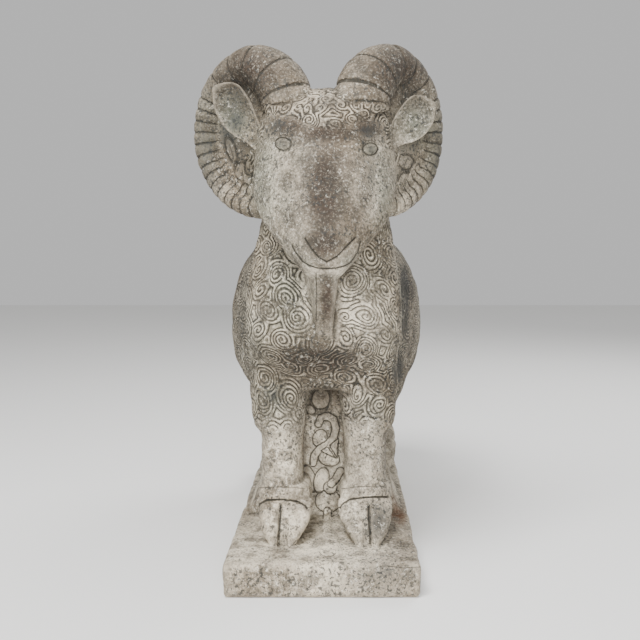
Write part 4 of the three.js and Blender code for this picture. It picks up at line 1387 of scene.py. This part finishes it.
# %% Distances to the marks
seen = pixels_of(points)
towards_front = (normals_of(block.data)[:, 1] < 0.45) & (points[:, 1] < -0.10)
drawn = np.full((len(faces), 3), FAR)
strength = np.zeros(len(faces))
for names, marks in MARKS.items():
    wanted = is_form(*names) & towards_front
    if names == ("web",):
        wanted &= np.abs(points[:, 0]) < 0.075
    some = np.flatnonzero(wanted[faces].all(1))
    corners = seen[faces[some]]
    middles, best = corners.mean(1), np.full(len(some), FAR)
    value, much_here = np.full((len(some), 3), FAR), np.zeros(len(some))
    for gap_of, half, much, solid in marks:
        at_middle = gap_of(middles)
        if solid:
            best[at_middle < 0], value[at_middle < 0] = FAR, FAR
        closer = np.flatnonzero(np.abs(at_middle) / half < best)
        best[closer] = np.abs(at_middle[closer]) / half
        value[closer] = gap_of(corners[closer].reshape(-1, 2)).reshape(-1, 3) / half
        much_here[closer] = much
    drawn[some], strength[some] = np.clip(value, -FAR, FAR), much_here
keep_uv("marks", drawn, np.repeat(strength, 3))
print("faces near a mark:", int((np.abs(drawn).min(1) < 1).sum()))

# %% [markdown]
# ## Stone
# The stone is one material. Its ground colour wanders between warm beige, brown-pink and greenish grey in patches;
# grooves and hollows are darkened, partly as dirt and partly as painted shade; lichen makes pale flecks, and soot
# dark ones. The grain is a bump. An image would tie all this to one view, and noise in the object's own space covers
# every side.
#
# The maths of such a material is easier to read as an expression than as a wall of nodes, so one small class wraps
# a socket, and Python's operators add the Math nodes.

# %% Shader maths in Python
class Wire:
    """A socket of the stone's node tree. Operators on numbers add Math nodes, on vectors Vector Math nodes."""

    tree = None

    def __init__(self, socket):
        self.socket = socket

    @classmethod
    def node(cls, kind, settings=None, sockets=None, out=0):
        made = cls.tree.nodes.new("ShaderNode" + kind)
        for name, value in (settings or {}).items():
            if name == "stops":
                for k, (place, shade) in enumerate(value):
                    stop = made.color_ramp.elements[k] if k < 2 else made.color_ramp.elements.new(place)
                    stop.position, stop.color = place, (*shade, 1)
            else:
                setattr(made, name, value)
        for name, value in (sockets or {}).items():
            if isinstance(value, Wire):
                cls.tree.links.new(value.socket, made.inputs[name])
            else:
                made.inputs[name].default_value = value
        return cls(made.outputs[out]) if made.outputs else None

    def maths(self, operation, other, swap=False):
        vector = "VECTOR" in (self.socket.type, getattr(getattr(other, "socket", None), "type", ""))
        pair = (other, self) if swap else (self, other)
        if vector:
            pair = tuple((v, v, v) if isinstance(v, (int, float)) else v for v in pair)
        return self.node("VectorMath" if vector else "Math", {"operation": operation}, dict(enumerate(pair)))

    def __add__(self, other):
        return self.maths("ADD", other)

    def __sub__(self, other):
        return self.maths("SUBTRACT", other)

    def __rsub__(self, other):
        return self.maths("SUBTRACT", other, swap=True)

    def __mul__(self, other):
        return self.maths("MULTIPLY", other)

    __radd__, __rmul__ = __add__, __mul__


stone = bpy.data.materials.new("weathered stone")
stone.use_nodes = True
Wire.tree = stone.node_tree
Wire.tree.nodes.clear()


place = Wire.node("TexCoord", None, None, out=3)


def noise(scale, detail=3, roughness=0.55, distortion=0):
    sockets = {"Vector": place, "Scale": scale, "Detail": detail, "Roughness": roughness, "Distortion": distortion}
    return Wire.node("TexNoise", None, sockets)


def step(value, start, end):
    """0 before start and 1 past end, with a soft way between."""
    sockets = {"Value": value, "From Min": start, "From Max": end}
    return Wire.node("MapRange", {"interpolation_type": "SMOOTHSTEP"}, sockets)


def blend(share, first, second, kind="MIX"):
    settings = {"data_type": "RGBA", "blend_type": kind, "clamp_factor": True}
    return Wire.node("Mix", settings, {"Factor": share, 6: first, 7: second}, out=2)


def stored(name):
    return Wire.node("Attribute", {"attribute_name": name}, None, out=2)


def stored_pair(name):
    """The two numbers of a UV layer."""
    layer = Wire.node("UVMap", {"uv_map": name})
    return [Wire.node("SeparateXYZ", None, {"Vector": layer}, out=k) for k in (0, 1)]


print("nodes so far:", len(Wire.tree.nodes))

# %% [markdown]
# ## Grooves and thin lines
# Three kinds of dark line are read from the mesh: the strands' grooves, the grooves between the horns' bands and the
# thin marks. Their darkness is partly dirt and partly painted shade, for cuts too narrow for the mesh to shade. The
# fraction of a phase runs from 0 to 1 from groove to groove, so its distance from the middle is all that a groove
# needs, and noise wears some of them away.

# %% Grooves of the fleece
strand = Wire.node("SeparateXYZ", None, {"Vector": Wire.node("UVMap", {"uv_map": "strand"})})
from_middle = (strand.maths("FRACT", 0) - 0.5).maths("ABSOLUTE", 0)
wool = stored("fleece")
worn = step(noise(26, 2), 0.30, 0.62)
strand_cut = (1 - step(from_middle, 0.05, 0.24)) * wool * (0.60 + worn * 0.40)

band, band_length = stored_pair("bands")
waver = (noise(30, 2) - 0.5) * 0.06
from_groove = ((band + waver + 0.5).maths("FRACT", 0) - 0.5).maths("ABSOLUTE", 0) * band_length  # millimetres
band_cut = (1 - step(from_groove, 1.0, 2.9)) * stored("horn") * (0.75 + worn * 0.25)

from_mark, mark_strength = stored_pair("marks")
mark_cut = (1 - step(from_mark.maths("ABSOLUTE", 0), 0.35, 1.15)) * mark_strength
print("nodes so far:", len(Wire.tree.nodes))

# %% [markdown]
# ## Colours
# Clean stone is beige to sand. Over it go the damp green, the pale worn places and the brown, each where the patches
# say and broken up by noise, and last a fine mottle with pale and dark grains, which gives the coarse look of
# weathered stone. Where the patches paint light or shade, the pale is painted light and the brown painted shade.

# %% Colours of the stone
BEIGE = (0.175, 0.138, 0.094, 1)
SAND = (0.29, 0.25, 0.19, 1)
CREAM = (0.74, 0.66, 0.515, 1)
GREEN_GREY = (0.100, 0.110, 0.083, 1)
BROWN = (0.032, 0.022, 0.015, 1)
# The next dark is dirt and also painted shade in hollows, grooves and cuts.
DIRT_AND_SHADE = (0.030, 0.027, 0.020, 1)
LICHEN = (0.72, 0.675, 0.57, 1)
# The next dark is soot and also painted shade where its patches are painted shade.
SOOT_AND_SHADE = (0.028, 0.029, 0.027, 1)
RUST = (0.10, 0.045, 0.018, 1)

broad = noise(5.5, 4, 0.6, 0.4)
middling = noise(26, 5, 0.68)
grain = noise(230, 3, 0.75)
fine = noise(95, 4, 0.75)

colour = blend(step(broad, 0.38, 0.62), BEIGE, SAND)
colour = blend(stored("green") * (0.60 + 0.40 * step(middling, 0.35, 0.6)), colour, GREEN_GREY)
colour = blend(stored("pale") * (0.35 + 0.65 * step(middling, 0.36, 0.56)), colour, CREAM)
warm = stored("warm")
colour = blend(warm * (0.88 + 0.12 * step(middling, 0.36, 0.58)), colour, BROWN)
mottle = step(middling * 0.6 + fine * 0.4, 0.38, 0.62)
colour = blend(1 - stored("pale") * 0.6, colour, blend(1.0, colour, 0.50 + mottle, "MULTIPLY"))
colour = blend(step(grain, 0.55, 0.63) * (0.32 - warm * 0.20), colour, LICHEN)
colour = blend(step(grain, 0.46, 0.37) * 0.62, colour, DIRT_AND_SHADE)
print("nodes so far:", len(Wire.tree.nodes))

# %% [markdown]
# ## Dirt and painted shade, soot and lichen
# Dirt and painted shade go where a finger can't reach: in hollows, grooves and marks. The crests of the locks are
# paler, partly worn by rain and partly a painted highlight, and convex places are paler too. Soot clings in dark
# spots, with painted shade from its patches among them, and lichen grows in pale flecks. The order matters, because
# each layer covers the ones before it.

# %% Dirt and painted shade, soot and lichen
cavity = stored("cavity")
# Hollows darkened: partly dirt, partly painted shade.
dirt_and_shade = step(cavity + (middling - 0.5) * 0.8, 0.05, 0.62) * (1 - stored("pale") * 0.6)
# Paler crests of the locks: partly worn stone, partly painted highlight.
crest = step(from_middle, 0.30, 0.50) * wool * step(middling, 0.42, 0.60)
colour = blend(crest * (1 - warm * 0.6) * 0.5, colour, CREAM)
colour = blend(dirt_and_shade * 0.68, colour, DIRT_AND_SHADE)
# Dark grooves: partly dirt, partly painted shade of grooves too narrow for the mesh.
colour = blend(strand_cut * 0.88, colour, DIRT_AND_SHADE)
colour = blend(band_cut * 0.92, colour, DIRT_AND_SHADE)
# Soot, and painted shade where its patches are painted shade.
soot_and_shade = step(stored("soot_and_shade") + (middling - 0.5) + (fine - 0.5) * 0.9 + (grain - 0.5) * 1.3, 0.36, 0.70)
colour = blend(soot_and_shade * 0.78, colour, SOOT_AND_SHADE)
dots = step(noise(170, 2, 0.6), 0.54, 0.61) * step(noise(15, 3, 0.6) + stored("soot_and_shade") * 0.7, 0.42, 0.58)
colour = blend(dots * 0.80, colour, SOOT_AND_SHADE)
flecks = step(noise(105, 5, 0.8), 0.575, 0.63) * step(noise(9, 2) + stored("pale") * 0.25, 0.42, 0.58)
colour = blend(flecks * (0.65 - warm * 0.30), colour, LICHEN)
colour = blend(step(cavity, -0.12, -0.6) * 0.35, colour, SAND)
colour = blend(stored("rust") * step(middling, 0.30, 0.50), colour, RUST)
# Dark marks: partly dirt, partly painted shade of thin cuts.
colour = blend(mark_cut * 0.90, colour, DIRT_AND_SHADE)
print("nodes so far:", len(Wire.tree.nodes))

# %% [markdown]
# ## Surface
# Stone is rough all over, and a little rougher in the hollows. The grain, pits and grooves give a bump of a few
# millimetres at most, because everything larger is already in the mesh.

# %% Surface and output
specks = Wire.node("TexVoronoi", {"feature": "F1"}, {"Vector": place, "Scale": 210.0, "Randomness": 1.0})
pits = step(specks, 0.4, 0.15) * step(noise(30, 2), 0.48, 0.62)
heights = grain * 0.0016 + fine * 0.0028 - pits * 0.0012
heights = heights - strand_cut * 0.0022 - band_cut * 0.003 - mark_cut * 0.002 + middling * 0.0022
bump = Wire.node("Bump", None, {"Strength": 1.0, "Distance": 1.0, "Height": heights})
roughness = 0.82 + dirt_and_shade * 0.1
shader = Wire.node("BsdfPrincipled", None, {
    "Base Color": colour, "Roughness": roughness, "Normal": bump, "Specular IOR Level": 0.25,
})
Wire.node("OutputMaterial", None, {"Surface": shader})
block.data.materials.clear()
block.data.materials.append(stone)
print("stone has", len(Wire.tree.nodes), "nodes")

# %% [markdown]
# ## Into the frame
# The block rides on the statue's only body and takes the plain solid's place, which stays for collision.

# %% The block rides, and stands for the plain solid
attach(block, "root")
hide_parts("ram_statue")
